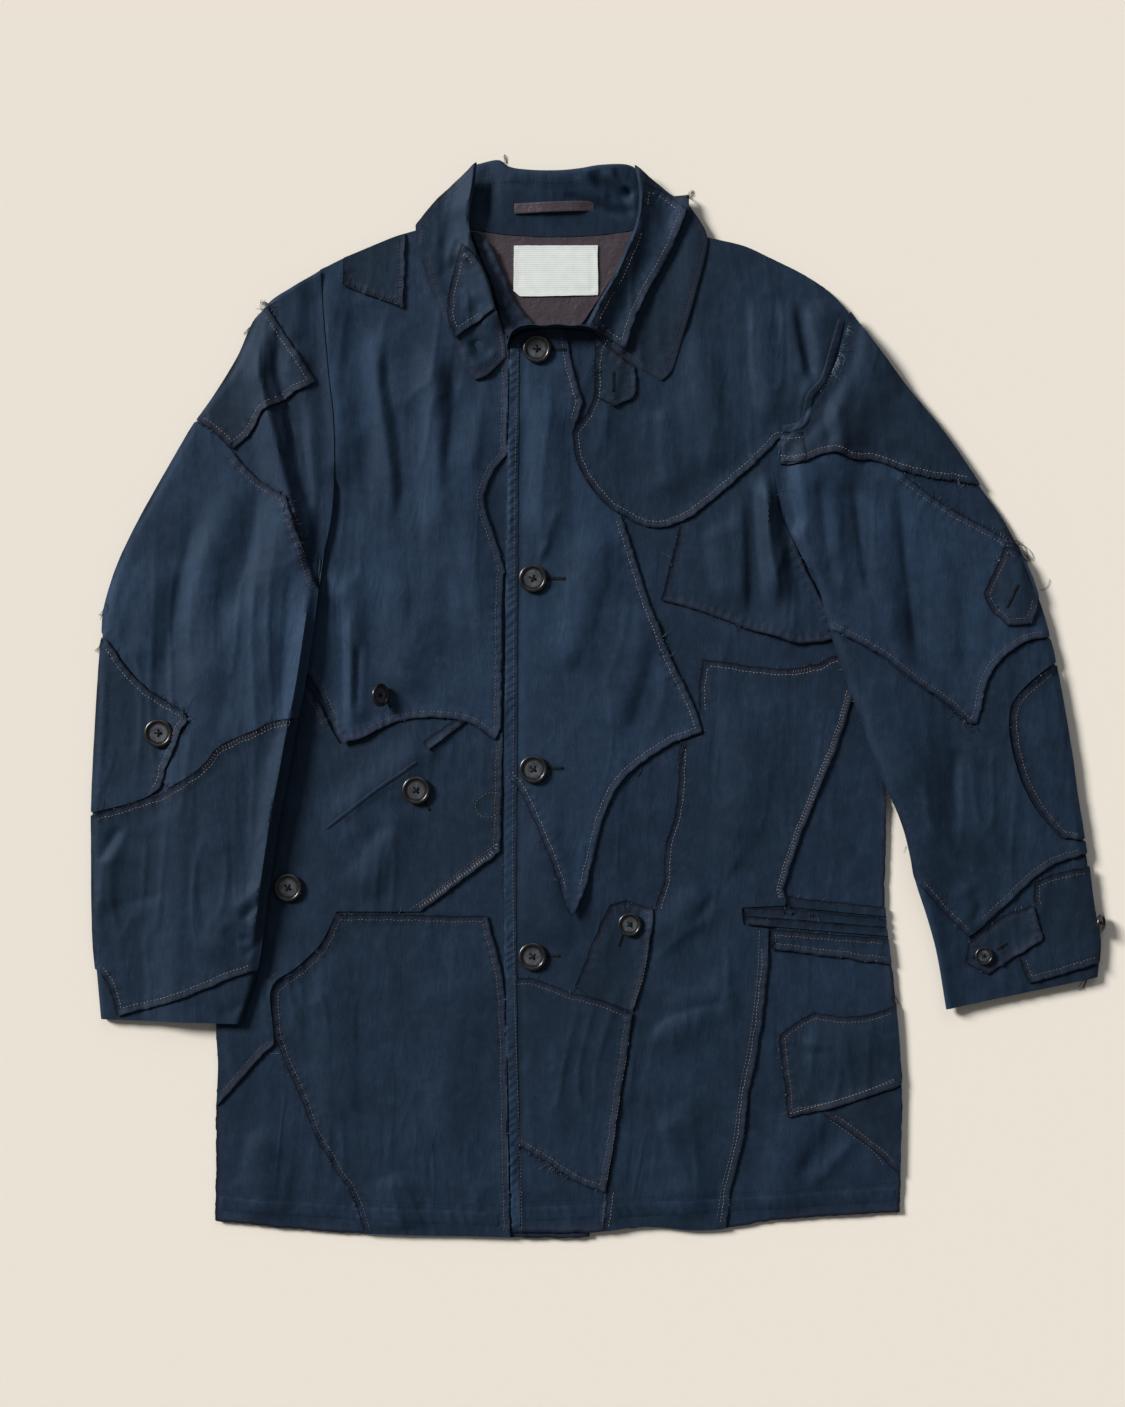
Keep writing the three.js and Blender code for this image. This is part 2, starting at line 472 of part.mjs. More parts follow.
const SLEEVE_LEFT = {
  armhole: ARMHOLE_LEFT,
  outerEdge: [[848, 314], [885, 363], [915, 401], [946, 439], [977, 485], [1006, 527], [1026, 574], [1036, 601],
    [1047, 637], [1056, 678], [1070, 761], [1076, 805], [1085, 858], [1091, 905], [1098, 948], [1096, 976]],
  innerEdge: [[784, 519], [799, 555], [814, 580], [830, 637], [852, 701], [868, 744], [885, 790], [897, 815], [906, 845],
    [913, 880], [924, 914], [934, 950], [944, 1008]],
  folds: [
    { crest: [[836, 372], [838, 420], [846, 500]], rise: 2.4, half: 14 },
    { crest: [[800, 450], [812, 510], [832, 580]], rise: 3, half: 13 },
    { crest: [[876, 500], [890, 570], [896, 640]], rise: 2.2, half: 18 },
    { crest: [[862, 665], [888, 730], [912, 800]], rise: 2, half: 15 },
    { crest: [[962, 880], [974, 910], [966, 930]], rise: 1.8, half: 12 },
    { crest: [[1040, 500], [1012, 600], [1018, 660]], rise: 2, half: 14 },
  ],
  side: 1,
};

const bodyPlan = [rightFrontEdge, leftFrontEdge];
function distanceOutsideBody(x, y) {
  let nearest = Infinity;
  for (const edge of bodyPlan) {
    let inside = false;
    for (let i = 0; i < edge.length; i += 1) {
      const a = edge[i];
      const b = edge[(i + 1) % edge.length];
      const dx = b.x - a.x;
      const dy = b.y - a.y;
      const t = Math.min(1, Math.max(0, ((x - a.x) * dx + (y - a.y) * dy) / (dx * dx + dy * dy)));
      nearest = Math.min(nearest, Math.hypot(x - a.x - t * dx, y - a.y - t * dy));
      if ((a.y > y) !== (b.y > y) && x < a.x + (dx * (y - a.y)) / dy) inside = !inside;
    }
    if (inside) return 0;
  }
  return nearest;
}

const SLEEVE_CLEAR = 30; // the underside stays above the body this far past its side seam
const SLEEVE_RAMP = 34; // and comes down to the surface over this width
const sleeveUnderside = (x, y) => SLEEVE_OVER_BODY
  * (1 - smoothstep(SLEEVE_CLEAR, SLEEVE_CLEAR + SLEEVE_RAMP, distanceOutsideBody(x, y)));

function sleeveGrid(sleeve) {
  const ringShares = Array.from({ length: SLEEVE_RINGS + 1 }, (_, k) => k / SLEEVE_RINGS);
  const outerLine = samplesAlong(sleeve.outerEdge, ringShares);
  const innerLine = samplesAlong(sleeve.innerEdge, ringShares);
  const folds = sleeve.folds.map((fold) => ({ ...fold, crest: curveThrough(fold.crest, 24) }));
  const chord = armholeLength(sleeve.armhole);
  return ringShares.map((share, k) => {
    const a = outerLine[k];
    const b = innerLine[k];
    const shares = columnShares(k === 0 ? chord : a.distanceTo(b));
    const armhole = samplesAlong(sleeve.armhole, shares);
    const hug = (1 - smoothstep(0, 0.24, share));
    const away = 0.45 * sleeve.side;
    return shares.map((u, j) => {
      const straight = a.clone().lerp(b, u);
      const armholeChord = outerLine[0].clone().lerp(innerLine[0], u);
      const bulge = armhole[j].clone().sub(armholeChord).multiplyScalar(hug);
      const p = straight.add(bulge).add(new THREE.Vector2(away, 0));
      const under = sleeveUnderside(p.x, p.y);
      const isSide = j === 0 || j === shares.length - 1;
      const nextToSide = j === 1 || j === shares.length - 2;
      const loft = (nextToSide ? SLEEVE_LOFT - 1.1 : SLEEVE_LOFT) + (isSide ? 0 : foldLift(folds, p.x, p.y));
      return { x: p.x, y: p.y, under, top: under + loft, middle: under + (SLEEVE_LOFT - 0.6) / 2, isSide };
    });
  });
}

function sleeveTube(grid) {
  const ring = (row, inset) => {
    const last = row.length - 1;
    const inward = (j, k) => {
      const span = Math.hypot(row[k].x - row[j].x, row[k].y - row[j].y);
      const t = (CLOTH * inset * 1.25) / span;
      return new THREE.Vector3(row[j].x + (row[k].x - row[j].x) * t, row[j].y + (row[k].y - row[j].y) * t, row[j].middle);
    };
    const top = row.slice(1, last).map((c) => new THREE.Vector3(c.x, c.y, c.top - CLOTH * inset));
    const bottom = row.slice(1, last).map((c) => new THREE.Vector3(c.x, c.y, c.under + CLOTH * inset));
    return [inward(0, 1), ...top, inward(last, last - 1), ...bottom.reverse()];
  };
  return wall(grid.map((row) => ring(row, 0)), grid.map((row) => ring(row, 1)), true);
}

function sleevePatch(grid, edge, level = 1) {
  const low = GAP + (level - 1) * PATCH_STEP;
  const sheet = (offset) => grid.map((row) => row.map((c) => new THREE.Vector3(c.x, c.y, (c.isSide ? c.middle : c.top) + offset)));
  return wall(sheet(low + PATCH), sheet(low)).intersect(prism(edge));
}

const rightGrid = sleeveGrid(SLEEVE_RIGHT);
const leftGrid = sleeveGrid(SLEEVE_LEFT);
addPiece('sleeve_right', sleeveTube(rightGrid), cloth);
addPiece('sleeve_left', sleeveTube(leftGrid), cloth);

// Patches on the right sleeve
const S2 = [[185, 413], [199, 424], [216, 434.5], [230, 449], [240, 460], [259, 480], [274, 490], [288.5, 498]];
const S4 = [[94, 814], [119, 808], [149, 799], [170, 790], [194, 776], [209, 763], [221, 748], [236, 740], [260, 730],
  [278, 722], [299, 719]];
const capPatchRight = outline(
  [[240, 300], [300, 255]], [[266, 300], [273, 316], [287, 337], [301, 358], [317, 384]], [[317, 384], [301, 391],
    [291, 400], [273, 407.6], [261, 417], [251, 436], [234, 450]], [[234, 450], [216, 432], [199, 421.6], [170, 402]],
);
addPiece('cap_patch_right', sleevePatch(rightGrid, capPatchRight), patchCloth);
const upperArmRight = outline(
  S2, [[288.5, 498], [300, 535], [308, 557], [315, 581], [330, 610]], [[330, 610], [330, 717.5]], [[330, 717.5], [299, 717.5]],
  [[299, 717.5], [278, 720.5], [260, 728.5], [236, 738.5], [221, 746.5], [209, 761], [194, 774], [170, 788]],
  [[170, 788], [165, 780]], [[165, 780], [169, 766], [178, 748], [182, 733], [191.8, 725], [190.8, 714], [180, 706.8],
    [159, 695.6], [141, 680.6], [123.5, 660], [108, 638], [95, 620]], [[95, 620], [95, 500]],
);
addPiece('upper_arm_panel_right', sleevePatch(rightGrid, upperArmRight), patchCloth);
const elbowPatchRight = outline(
  [[80, 623], [107, 640], [122, 661], [140, 682], [158, 697], [179, 709], [188, 715], [189, 724], [180.5, 732],
    [176.5, 748], [167.5, 766], [161, 787]], [[161, 787], [150, 796], [119, 806], [80, 815]],
);
addPiece('elbow_patch_right', sleevePatch(rightGrid, elbowPatchRight), patchCloth);
const forearmRight = outline(
  [[80, 817.5], [94, 815.5], ...S4.slice(1, -1), [299, 719], [330, 719]], [[330, 719], [330, 950]],
  [[330, 950], [263, 967], [230, 977], [200, 990], [170, 1001], [119, 1014]], [[119, 1014], [110, 985], [98, 966], [70, 950]],
);
addPiece('forearm_panel_right', sleevePatch(rightGrid, forearmRight), patchCloth);

// Patches on the left sleeve
const capPanelLeft = outline(
  [[860, 290], [760, 430]], [[760, 466], [799, 463], [811, 458], [830, 452], [848, 459], [873, 460.6], [891, 466.7],
    [915, 476], [946, 480.5], [1000, 489]], [[1000, 489], [1000, 300]],
);
addPiece('cap_panel_left', sleevePatch(leftGrid, capPanelLeft), patchCloth);
const T3 = [[815, 621], [825, 627], [854, 641], [885, 659.6], [915.5, 684], [940, 699], [964.5, 720.8]];
const upperArmLeft = outline(
  [[760, 468.5], [799, 465.5], [811, 460.5], [830, 454.5], [848, 461.5], [873, 463]],
  [[873, 463], [885, 465], [906, 479], [925, 494], [946, 508], [967, 519], [992, 532.5], [1013, 545], [1045, 560]],
  [[1060, 560], [1060, 636.5]], [[1047, 636.6], [1022.6, 641], [1001, 656.5], [986, 675], [979.8, 699], [974, 723]],
  [[974, 723], [964.5, 720.8]], [...T3].reverse(), [[815, 621], [760, 600]],
);
addPiece('upper_arm_panel_left', sleevePatch(leftGrid, upperArmLeft), patchCloth);
addPiece('tab_patch_left', sleevePatch(leftGrid, corners([1002.7, 546], [981, 594], [987.4, 609], [1004, 626],
  [1029, 624], [1035, 601], [1022, 562], [1012, 549]), 2), patchCloth);
const elbowPatchLeft = outline(
  [[1080, 655], [1055, 664], [1031, 683.6], [1014, 700.6], [1009, 720], [1011.5, 744], [1018.7, 773], [1031, 800],
    [1048, 822], [1060, 836]], [[1060, 836], [1100, 840]], [[1100, 840], [1100, 655]],
);
addPiece('elbow_patch_left', sleevePatch(leftGrid, elbowPatchLeft), patchCloth);
const forearmLeft = outline(
  shifted(T3, -1, 2.4), [[963.5, 723], [975, 726]], [[975, 726], [981.6, 700], [987.6, 677], [1002.6, 658.5],
    [1024, 643.6], [1047, 639], [1075, 638]], [[1075, 638], [1078, 651]], [[1078, 651], [1053, 661.5], [1029, 681.6],
    [1011.6, 699.6], [1006.6, 720], [1009, 745], [1016.6, 774], [1029, 802], [1046, 824], [1059, 838.4]],
  [[1059, 838.4], [1105, 843]], [[1105, 843], [1105, 850]], [[1105, 850], [1084, 853], [1052.7, 862.7], [1033, 875],
    [1014, 894.5], [994.5, 911.5], [976, 929]], [[976, 929], [965.4, 935.7]], [[965.4, 935.7], [951, 921], [931.5, 901.8],
    [913, 877.5], [890, 845]], [[890, 845], [760, 640]],
);
addPiece('forearm_panel_left', sleevePatch(leftGrid, forearmLeft), patchCloth);
addPiece('cuff_tab_left', sleevePatch(leftGrid, corners([965.4, 941.7], [963, 962], [986, 973], [1039, 937], [1029.6, 904],
  [1003, 914])), patchCloth);
const cuffPatchLeft = outline(
  [[1041.5, 938], [1016, 957]], [[1016, 957], [1026, 981.7]], [[1026, 981.7], [1062, 972], [1110, 957]],
  [[1110, 957], [1110, 864]], [[1110, 864], [1085, 866], [1052.7, 872.7], [1031.5, 881]], [[1031.5, 881], [1032, 902.6]],
  [[1032, 902.6], [1041.5, 938]],
);
addPiece('cuff_patch_left', sleevePatch(leftGrid, cuffPatchLeft), patchCloth);

// The collar: a leaf on each side, folded over, and the stand and fall behind the neck
const collarLift = (x, y) => foldLift(COLLAR_FOLDS, x, y, true);
const collarRise = (x, y) => collarLift(x, y) + onUpperFront(x) * smoothstep(at([560, 0]).x, at([575, 0]).x, x);
const collarSheet = (edge, { z0, thick }) => bodySheet(edge, { z0, thick, finer: 2, extra: collarRise });
const collarLeafRight = outline(
  [[477.5, 166], [475, 190], [471.5, 212], [469.5, 232], [478, 256], [488, 280], [496.5, 312]], [[496.5, 312], [504, 338]],
  [[504, 338], [506, 358], [486.6, 377], [475, 381]], [[475, 381], [466, 372], [455, 343]],
  [[455, 343], [440, 312], [428, 280], [418, 250], [416, 226]], [[416, 226], [438, 200]], [[438, 200], [462, 179], [477.5, 166]],
);
addPiece('collar_leaf_right', collarSheet(collarLeafRight, { z0: COLLAR_OVER_BODY, thick: CLOTH }), cloth);
addPiece('collar_patch_right', collarSheet(corners([462, 246], [477, 262], [487, 284], [495, 311], [474.5, 326], [455, 340],
  [447, 312], [452, 280]), { z0: COLLAR_OVER_BODY + CLOTH + GAP, thick: PATCH }), patchCloth);
const collarLeafLeft = outline(
  [[634, 168], [650, 180.5], [664, 190.6], [673, 198]], [[673, 198], [689, 197]], [[689, 197], [688, 207.5], [697.5, 219.7], [707, 239],
    [704.8, 256], [697.5, 285], [690, 312], [680.5, 343], [671, 372]], [[671, 372], [661, 382]],
  [[661, 382], [622, 358], [598, 338], [586.5, 326]], [[586.5, 326], [600.6, 299.6], [612.7, 280], [627, 246], [636, 224],
    [638.5, 195], [634, 168]],
);
addPiece('collar_leaf_left', collarSheet(collarLeafLeft, { z0: COLLAR_OVER_BODY, thick: CLOTH }), cloth);
const collarPatchLeft = outline(
  [[644, 186], [664, 195], [686, 212]], [[686, 212], [671, 251], [651, 287], [637, 314], [625, 352]],
  [[625, 352], [600, 334], [592, 325]], [[592, 325], [604, 300], [617, 279], [631, 246], [639, 222], [644, 186]],
);
addPiece('collar_patch_left', collarSheet(collarPatchLeft, { z0: COLLAR_OVER_BODY + CLOTH + GAP, thick: PATCH }), patchCloth);

// The back of the collar is one sheet: the stand faces up, the fold stands at the top, the fall lies below.
const COLLAR_FOLD_HEIGHT = 11.5; // in the middle of the neck
const COLLAR_END_HEIGHT = 7; // under the leaves
const FOLD_LINE = [[476.5, 165], [500, 161.5], [509, 168], [530, 171.5], [560, 172], [580, 170], [600, 166.5], [628, 166],
  [637, 170]];
const STAND_SEAM = [[464, 228.5], [482, 231.5], [500, 234.5], [530, 237], [560, 237.5], [590, 236.5], [610, 234.5],
  [630, 231.5], [645, 228]];
const standProfile = (share) => {
  const height = COLLAR_END_HEIGHT + (COLLAR_FOLD_HEIGHT - COLLAR_END_HEIGHT) * Math.sin(Math.PI * share) ** 0.7;
  const foldRadius = height / 2;
  const seamHeight = BACK_TOP + GAP;
  const curl = Array.from({ length: 7 }, (_, k) => (Math.PI * (k + 0.5)) / 7 - Math.PI / 2);
  const upper = [1, 0.72, 0.45, 0.2].map((s) => [s, seamHeight + (height - seamHeight - 1.2) * (1 - s) ** 1.4 + CLOTH]);
  return { foldRadius, curl, upper };
};
function collarBack() {
  const shares = Array.from({ length: 13 }, (_, k) => k / 12);
  const foldLine = samplesAlong(FOLD_LINE, shares);
  const seamLine = samplesAlong(STAND_SEAM, shares);
  const surface = (inset) => shares.map((share, k) => {
    const { foldRadius, curl, upper } = standProfile(share);
    const top = foldLine[k];
    const seam = seamLine[k];
    const depth = top.distanceTo(seam);
    const place = (back, z) => {
      const p = seam.clone().lerp(top, 1 - back / depth);
      return new THREE.Vector3(p.x, p.y, z);
    };
    const r = foldRadius - CLOTH * inset;
    const fall = [0.86, 0.6, 0.36].map((s) => place(depth * s, CLOTH * inset));
    const bend = curl.map((a) => place(foldRadius - r * Math.cos(a), foldRadius + r * Math.sin(a)));
    const stand = upper.map(([s, z]) => place(foldRadius + (depth - foldRadius) * s, z - CLOTH * inset)).reverse();
    return [...fall, ...bend, ...stand];
  });
  return wall(surface(0), surface(1));
}
addPiece('collar_back', collarBack(), cloth);

// Parts of the stand that run down to the front edge beside the neck opening
const neckFacingRight = outline(
  [[471.5, 233], [480, 256], [489.6, 280], [498, 311], [506, 338]], [[506, 338], [520, 332], [534, 326]],
  [[534, 326], [522, 312], [510, 292], [500, 268], [488, 244], [478, 234]],
);
const clearOfLeaf = (x, y) => 0.2 * collarLift(x, y);
addPiece('neck_facing_right', bodySheet(neckFacingRight, {
  z0: FRONT_TOP + PATCH_STEP + GAP, thick: PATCH, finer: 2, extra: clearOfLeaf,
}), cloth);

// Inside the neck
const yokeLining = outline(
  [[470, 230.5], [482, 232.3], [500, 235.2], [530, 237.7], [560, 238.2], [590, 237.2], [610, 235.2], [630, 232.2],
    [644, 229.5]], [[644, 229.5], [626, 258], [600, 296], [582, 324], [574, 328]],
  [[574, 328], [549, 325], [530, 327], [518, 331]], [[518, 331], [504, 306], [488, 268], [470, 230.5]],
);
addPiece('yoke_lining', (() => {
  const sheet = prism(yokeLining, BACK_TOP + GAP, BACK_TOP + GAP + PATCH);
  return [rightFrontEdge, leftFrontEdge].reduce((solid, edge) => {
    const grown = prism(edge).asOriginal();
    const clear = [[0.5, 0], [-0.5, 0], [0, 0.5], [0, -0.5]].map(([dx, dy]) => grown.translate([dx, dy, 0]));
    return clear.reduce((rest, tool) => rest.subtract(tool), solid);
  }, sheet);
})(), liningCloth);
addPiece('neck_label', prism(corners([514, 246.5], [597.5, 246.5], [598, 296], [520, 297.5], [513.5, 291.5]),
  BACK_TOP + 2 * GAP + PATCH, BACK_TOP + 2 * GAP + PATCH + TRIM), labelCloth);

// What lies loosely on the rest is set down on the highest point under it.
const ray = new THREE.Raycaster();
function heightAt(x, y) {
  coat.updateMatrixWorld(true);
  ray.set(new THREE.Vector3(x, y, 200), new THREE.Vector3(0, 0, -1));
  const hit = ray.intersectObjects(coat.children, false)[0];
  return hit ? hit.point.z : 0;
}

function trimStrip(gridA, gridB, width, thick = TRIM, steps = 8) {
  const a = at(gridA);
  const b = at(gridB);
  const along = b.clone().sub(a).normalize();
  const across = new THREE.Vector2(-along.y, along.x).multiplyScalar(width / 2);
  const rows = Array.from({ length: steps + 1 }, (_, k) => a.clone().lerp(b, k / steps));
  const sides = [-1, 0, 1];
  const heights = rows.map((p) => Math.max(...sides.map((s) => heightAt(p.x + across.x * s, p.y + across.y * s))));
  const calm = heights.map((h, k) => Math.max(h, heights[Math.max(0, k - 1)], heights[Math.min(steps, k + 1)]) + 0.35);
  const grid = (offset) => rows.map((p, k) => sides.map((s) => (
    new THREE.Vector3(p.x + across.x * s, p.y + across.y * s, calm[k] + offset))));
  return wall(grid(thick), grid(0));
}
addPiece('hanger_loop', trimStrip([514.5, 210.5], [594, 207.5], 8.4), liningCloth);

const throatTab = corners([595, 337.5], [595, 397], [612.7, 407.5], [631, 400], [634.5, 394], [634.5, 367.5],
  [620, 358], [606, 346.5]);
addPiece('throat_tab', bodySheet(throatTab, {
  z0: FRONT_TOP + PATCH_STEP + GAP, thick: TRIM, finer: 2, extra: onUpperFront,
}), patchCloth);

// Buttons: turned horn discs with a raised rim
function button(name, gridPlace, radius, lean = { tilt: 0, heading: 0 }) {
  const profile = [
    [0, 0], [radius * 0.72, 0], [radius, BUTTON_THICK * 0.5], [radius * 0.9, BUTTON_THICK],
    [radius * 0.66, BUTTON_THICK * 0.72], [0, BUTTON_THICK * 0.72],
  ].map(([r, z]) => new THREE.Vector2(r, z));
  const lathe = new THREE.LatheGeometry(profile, 14);
  lathe.rotateX(Math.PI / 2);
  const turn = new THREE.Matrix4().makeRotationAxis(
    new THREE.Vector3(-Math.sin(lean.heading), Math.cos(lean.heading), 0), lean.tilt);
  lathe.applyMatrix4(turn);
  const centre = at(gridPlace);
  const position = lathe.getAttribute('position');
  let rise = -Infinity;
  for (let i = 0; i < position.count; i += 1) {
    rise = Math.max(rise, heightAt(centre.x + position.getX(i), centre.y + position.getY(i)) - position.getZ(i));
  }
  lathe.translate(centre.x, centre.y, rise + 0.35);
  addPiece(name, weld(lathe), buttonHorn);
}

function weld(geometry) {
  const position = geometry.getAttribute('position');
  const keys = new Map();
  const points = [];
  const same = Array.from({ length: position.count }, (_, i) => {
    const p = new THREE.Vector3().fromBufferAttribute(position, i);
    const key = p.toArray().map((v) => Math.round(v * 1e4)).join();
    if (!keys.has(key)) {
      keys.set(key, points.length);
      points.push(p);
    }
    return keys.get(key);
  });
  const index = geometry.getIndex();
  const triangles = [];
  for (let i = 0; i < index.count; i += 3) {
    const [a, b, c] = [0, 1, 2].map((k) => same[index.getX(i + k)]);
    if (a !== b && b !== c && c !== a) triangles.push([a, b, c]);
  }
  return solidFrom(points, triangles);
}

[[537, 350.5], [533, 579], [533.5, 769], [532.5, 955.6]].forEach((place, k) => {
  button(`front_button_${k + 1}`, place, BUTTON_FRONT_R);
});
button('chest_button_right', [379, 695.5], BUTTON_SMALL_R, { tilt: 0.62, heading: 0.35 });
button('waist_button_right', [416.7, 790], BUTTON_FRONT_R);
button('side_button_right', [289, 887], BUTTON_FRONT_R);
button('skirt_button_left', [629.4, 923.5], BUTTON_SMALL_R);
button('elbow_button_right', [161, 733], BUTTON_FRONT_R);
button('cuff_button_left', [981, 954], BUTTON_CUFF_R);
button('cuff_edge_button_left', [1094.6, 922], BUTTON_CUFF_R, { tilt: 0.95, heading: 0 });

export default coat;
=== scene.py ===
"""A three-quarter coat in navy cotton, patched all over and laid flat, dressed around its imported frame.

Every cloth is a fine closed sheet on the form of its CAD solid. Lengths are in metres, +Y towards the collar.
"""

import math

import bpy
import numpy as np
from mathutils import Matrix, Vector
from mathutils.bvhtree import BVHTree
from mathutils.geometry import delaunay_2d_cdt


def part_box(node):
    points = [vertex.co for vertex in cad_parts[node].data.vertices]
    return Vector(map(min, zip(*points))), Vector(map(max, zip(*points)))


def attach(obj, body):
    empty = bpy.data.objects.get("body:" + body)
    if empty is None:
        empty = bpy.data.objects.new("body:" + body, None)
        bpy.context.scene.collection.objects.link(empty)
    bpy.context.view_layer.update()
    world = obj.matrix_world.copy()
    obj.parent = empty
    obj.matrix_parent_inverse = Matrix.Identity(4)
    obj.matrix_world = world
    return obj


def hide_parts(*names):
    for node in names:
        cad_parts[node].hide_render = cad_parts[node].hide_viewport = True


bl_info = {
    "name": "Patched Coat",
    "version": (1, 0, 0),
    "blender": (4, 5, 0),
    "location": "3D View > Sidebar > Coat",
    "description": "Dresses the packed frame of a patched cotton coat",
    "category": "Object",
}

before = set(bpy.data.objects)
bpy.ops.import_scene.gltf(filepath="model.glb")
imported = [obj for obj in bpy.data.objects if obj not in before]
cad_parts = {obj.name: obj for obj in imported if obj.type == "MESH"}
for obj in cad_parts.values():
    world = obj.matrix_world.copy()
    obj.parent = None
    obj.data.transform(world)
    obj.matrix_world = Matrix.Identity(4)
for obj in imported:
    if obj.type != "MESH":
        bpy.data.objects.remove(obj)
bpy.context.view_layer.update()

MM = 0.001
# The outlines are drafted on the pattern grid of the part's source, x to the right and y downwards.
GRID = 904.7 * MM / 1077
GRID_CENTRE = (598.0, 699.5)

BACK_TOP = 1.4 * MM
FRONT_TOP = 3.1 * MM
LAYER = 1.3 * MM  # a patch and the gap under it
OVERLAP = 1.7 * MM  # how far the upper front steps over the under one
SLEEVE_OVER_BODY = 5.0 * MM
SLEEVE_LOFT = 6.8 * MM
COLLAR_OVER_BODY = 4.7 * MM
CRISP = 1.45  # a crease has a sharper crest than a soft fold, which is 2
CREASE_RISE = 1.15
COLLAR_CREASE_RISE = 1.2

# Folds: grid points along the crest, rise and half width in millimetres. A fall is a rise below nought.
BODY_FOLDS = [
    ([(329, 262), (331, 330), (338, 400), (339, 455), (334, 500)], 5, 15),
    ([(384, 318), (392, 400), (404, 520)], 3.4, 17),
    ([(428, 330), (436, 430), (438, 560)], 4.2, 16),
    ([(473, 395), (468, 520), (480, 660)], 3.6, 17),
    ([(347, 560), (352, 640), (349, 745)], 4.6, 15),
    ([(405, 560), (410, 650), (398, 705)], 2.8, 18),
    ([(545, 380), (548, 470), (541, 560)], 3.2, 17),
    ([(598, 520), (590, 600), (560, 690)], 4.2, 18),
    ([(650, 600), (632, 670), (612, 740)], 3.4, 16),
    ([(655, 400), (664, 450), (668, 505)], 3.4, 16),
    ([(700, 330), (706, 400), (716, 480)], 3.8, 16),
    ([(756, 300), (764, 370), (768, 430)], 3.4, 16),
    ([(818, 296), (822, 345), (806, 395), (786, 425)], 4.2, 15),
    ([(716, 520), (724, 570), (728, 612)], 3.4, 16),
    ([(768, 470), (774, 540), (786, 610)], 5.6, 11, 0.35),
    ([(430, 735), (380, 790), (330, 830)], 3.8, 16),
    ([(400, 800), (388, 850), (352, 900)], 3, 16),
    ([(545, 800), (552, 870), (566, 950)], 3.4, 16),
    ([(740, 690), (746, 780), (716, 880)], 2.6, 20),
    ([(716, 888), (672, 922), (640, 945)], 3.2, 16),
    ([(742, 985), (692, 1010), (652, 1050)], 3.6, 17),
    ([(660, 1105), (674, 1160), (700, 1222)], 4.4, 18),
    ([(330, 940), (336, 1040), (352, 1130)], 2.6, 20),
    ([(438, 960), (446, 1060), (440, 1160)], 2.4, 22),
    ([(262, 1120), (264, 1180), (268, 1224)], 3.6, 17),
    ([(395, 1170), (400, 1205), (402, 1232)], 2.8, 18),
    ([(812, 1100), (790, 1160), (776, 1220)], 3.8, 18),
    ([(800, 1040), (846, 1048), (884, 1056)], 2.6, 17),
]
